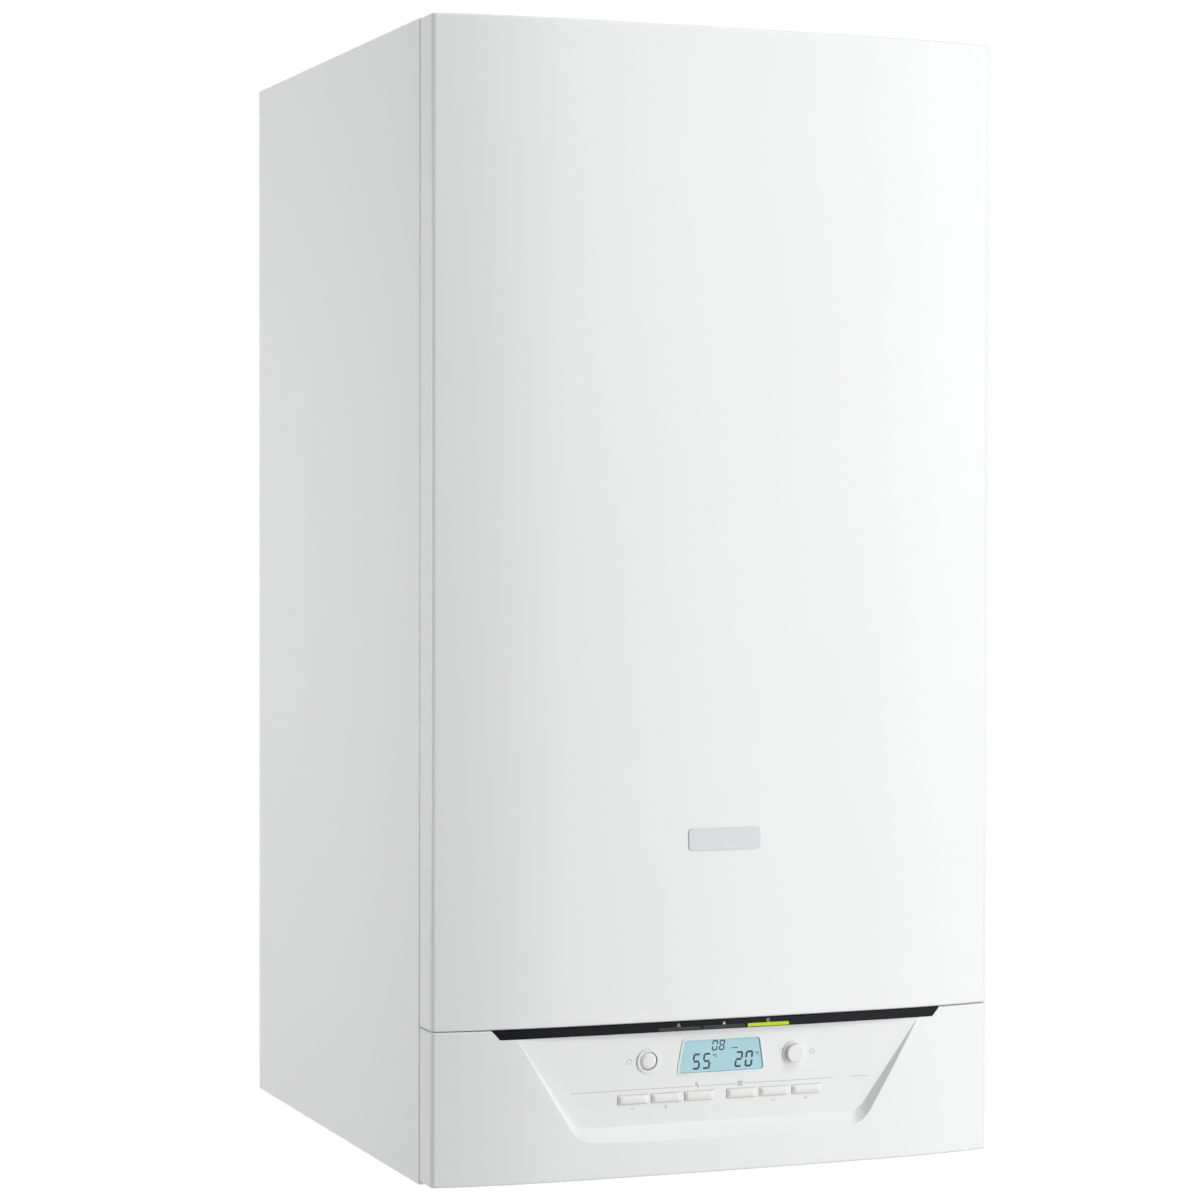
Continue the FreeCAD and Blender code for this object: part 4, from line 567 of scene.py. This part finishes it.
def make_strip_prints(pale):
    level = 118.4
    size = 0.72
    marks = []
    for sign, across in ((triangle_sign(), -38), (flame_sign(), 0), (ring_sign(), 37.5)):
        marks += moved(sign, across, level, size)
    plates("strip_prints", marks, on_strip, 0, pale)


def make_prints():
    make_display_marks(coated("display_ink", (0.02, 0.035, 0.04), rough=0.5))
    make_panel_prints(coated("print_grey", (0.50, 0.51, 0.51), rough=0.5))
    make_strip_prints(coated("print_pale", (0.5, 0.53, 0.54), rough=0.5))


# Studio: pale floor, soft lamps, white surroundings for the camera

def seen_white(tree, plain, share):
    """Mix the plain shader with white for what the camera, mirrors and glass see; share of the white."""
    path = tree.nodes.new("ShaderNodeLightPath")
    seen = path.outputs["Is Camera Ray"]
    for name in ("Is Glossy Ray", "Is Transmission Ray"):
        either = tree.nodes.new("ShaderNodeMath")
        either.operation = "MAXIMUM"
        tree.links.new(seen, either.inputs[0])
        tree.links.new(path.outputs[name], either.inputs[1])
        seen = either.outputs["Value"]
    factor = tree.nodes.new("ShaderNodeMath")
    factor.operation = "MULTIPLY"
    factor.inputs[1].default_value = share
    tree.links.new(seen, factor.inputs[0])
    white = tree.nodes.new("ShaderNodeEmission")
    white.inputs["Strength"].default_value = 1.0
    mix = tree.nodes.new("ShaderNodeMixShader")
    tree.links.new(factor.outputs["Value"], mix.inputs["Fac"])
    tree.links.new(plain, mix.inputs[1])
    tree.links.new(white.outputs["Emission"], mix.inputs[2])
    return mix.outputs["Shader"]


def make_world(strength):
    world = bpy.data.worlds.new("studio")
    bpy.context.scene.world = world
    world.use_nodes = True
    tree = world.node_tree
    lamp = tree.nodes["Background"]
    lamp.inputs["Color"].default_value = (1, 1, 1, 1)
    lamp.inputs["Strength"].default_value = strength
    tree.links.new(seen_white(tree, lamp.outputs["Background"], 1.0),
                   tree.nodes["World Output"].inputs["Surface"])


def make_floor(level, reach):
    """Pale floor, seen nearly white, with a faint shadow of the casing."""
    material, tree, surface = new_material("studio_floor")
    tone = ramp(tree, object_noise(tree, scale=3), (0.80, 0.80, 0.80), (0.82, 0.82, 0.82))
    tree.links.new(tone, surface.inputs["Base Color"])
    surface.inputs["Roughness"].default_value = 0.8
    tree.links.new(seen_white(tree, surface.outputs["BSDF"], 0.97),
                   tree.nodes["Material Output"].inputs["Surface"])
    mesh = bpy.data.meshes.new("floor")
    corners = [(across, along, level) for across, along in bar(-reach, -reach, reach, reach)]
    mesh.from_pydata(corners, [], [(0, 1, 2, 3)])
    new_piece("floor", mesh, material)


def area_lamp(name, place, target, width, height, power):
    data = bpy.data.lights.new(name, "AREA")
    data.shape = "RECTANGLE"
    data.size = width
    data.size_y = height
    data.energy = power
    lamp = bpy.data.objects.new(name, data)
    lamp.location = place
    lamp.rotation_euler = (Vector(target) - Vector(place)).to_track_quat("-Z", "Y").to_euler()
    bpy.context.collection.objects.link(lamp)


def make_studio():
    middle = (0, -0.45, 0.38)
    make_world(strength=0.12)
    make_floor(level=-1.4, reach=5)
    area_lamp("key", (1.75, -2.88, 0.2), middle, width=2.2, height=2.9, power=59)
    area_lamp("left_fill", (-1.75, 0.1, 0.5), (0, -0.4, 0.5), width=0.9, height=0.9, power=15)
    area_lamp("front_fill", (0.9, -2.4, 2.7), middle, width=1.4, height=1.4, power=42)
    area_lamp("top_fill", (0, -0.2, 3.2), middle, width=1.6, height=1.6, power=9)
    area_lamp("back_fill", (1.6, 2.8, 1.6), middle, width=3.0, height=3.0, power=24)


# Camera of the photograph, fitted to the casing's corners: angles in degrees, lens in millimetres

CAMERA_PLACE = Vector((-1.0122, -2.8887, 0.5062))
CAMERA_YAW = 20.896
CAMERA_PITCH = -1.311
CAMERA_ROLL = 0.118
CAMERA_LENS = 99.94


def make_camera():
    yaw = math.radians(CAMERA_YAW)
    pitch = math.radians(CAMERA_PITCH)
    ahead = Vector((math.sin(yaw) * math.cos(pitch), math.cos(yaw) * math.cos(pitch), math.sin(pitch)))
    level = ahead.to_track_quat("-Z", "Y").to_matrix().to_4x4()
    data = bpy.data.cameras.new("camera")
    data.sensor_width = 36
    data.lens = CAMERA_LENS
    camera = bpy.data.objects.new("camera", data)
    roll = Matrix.Rotation(math.radians(CAMERA_ROLL), 4, "Z")
    camera.matrix_world = Matrix.Translation(CAMERA_PLACE) @ level @ roll
    bpy.context.collection.objects.link(camera)
    bpy.context.scene.camera = camera


finishes = slot_materials()
dress_nodes(finishes)
make_hose(finishes["hose_grey"])
make_key_caps(finishes)
make_prints()
make_studio()
make_camera()
bpy.context.scene.view_settings.view_transform = "Standard"
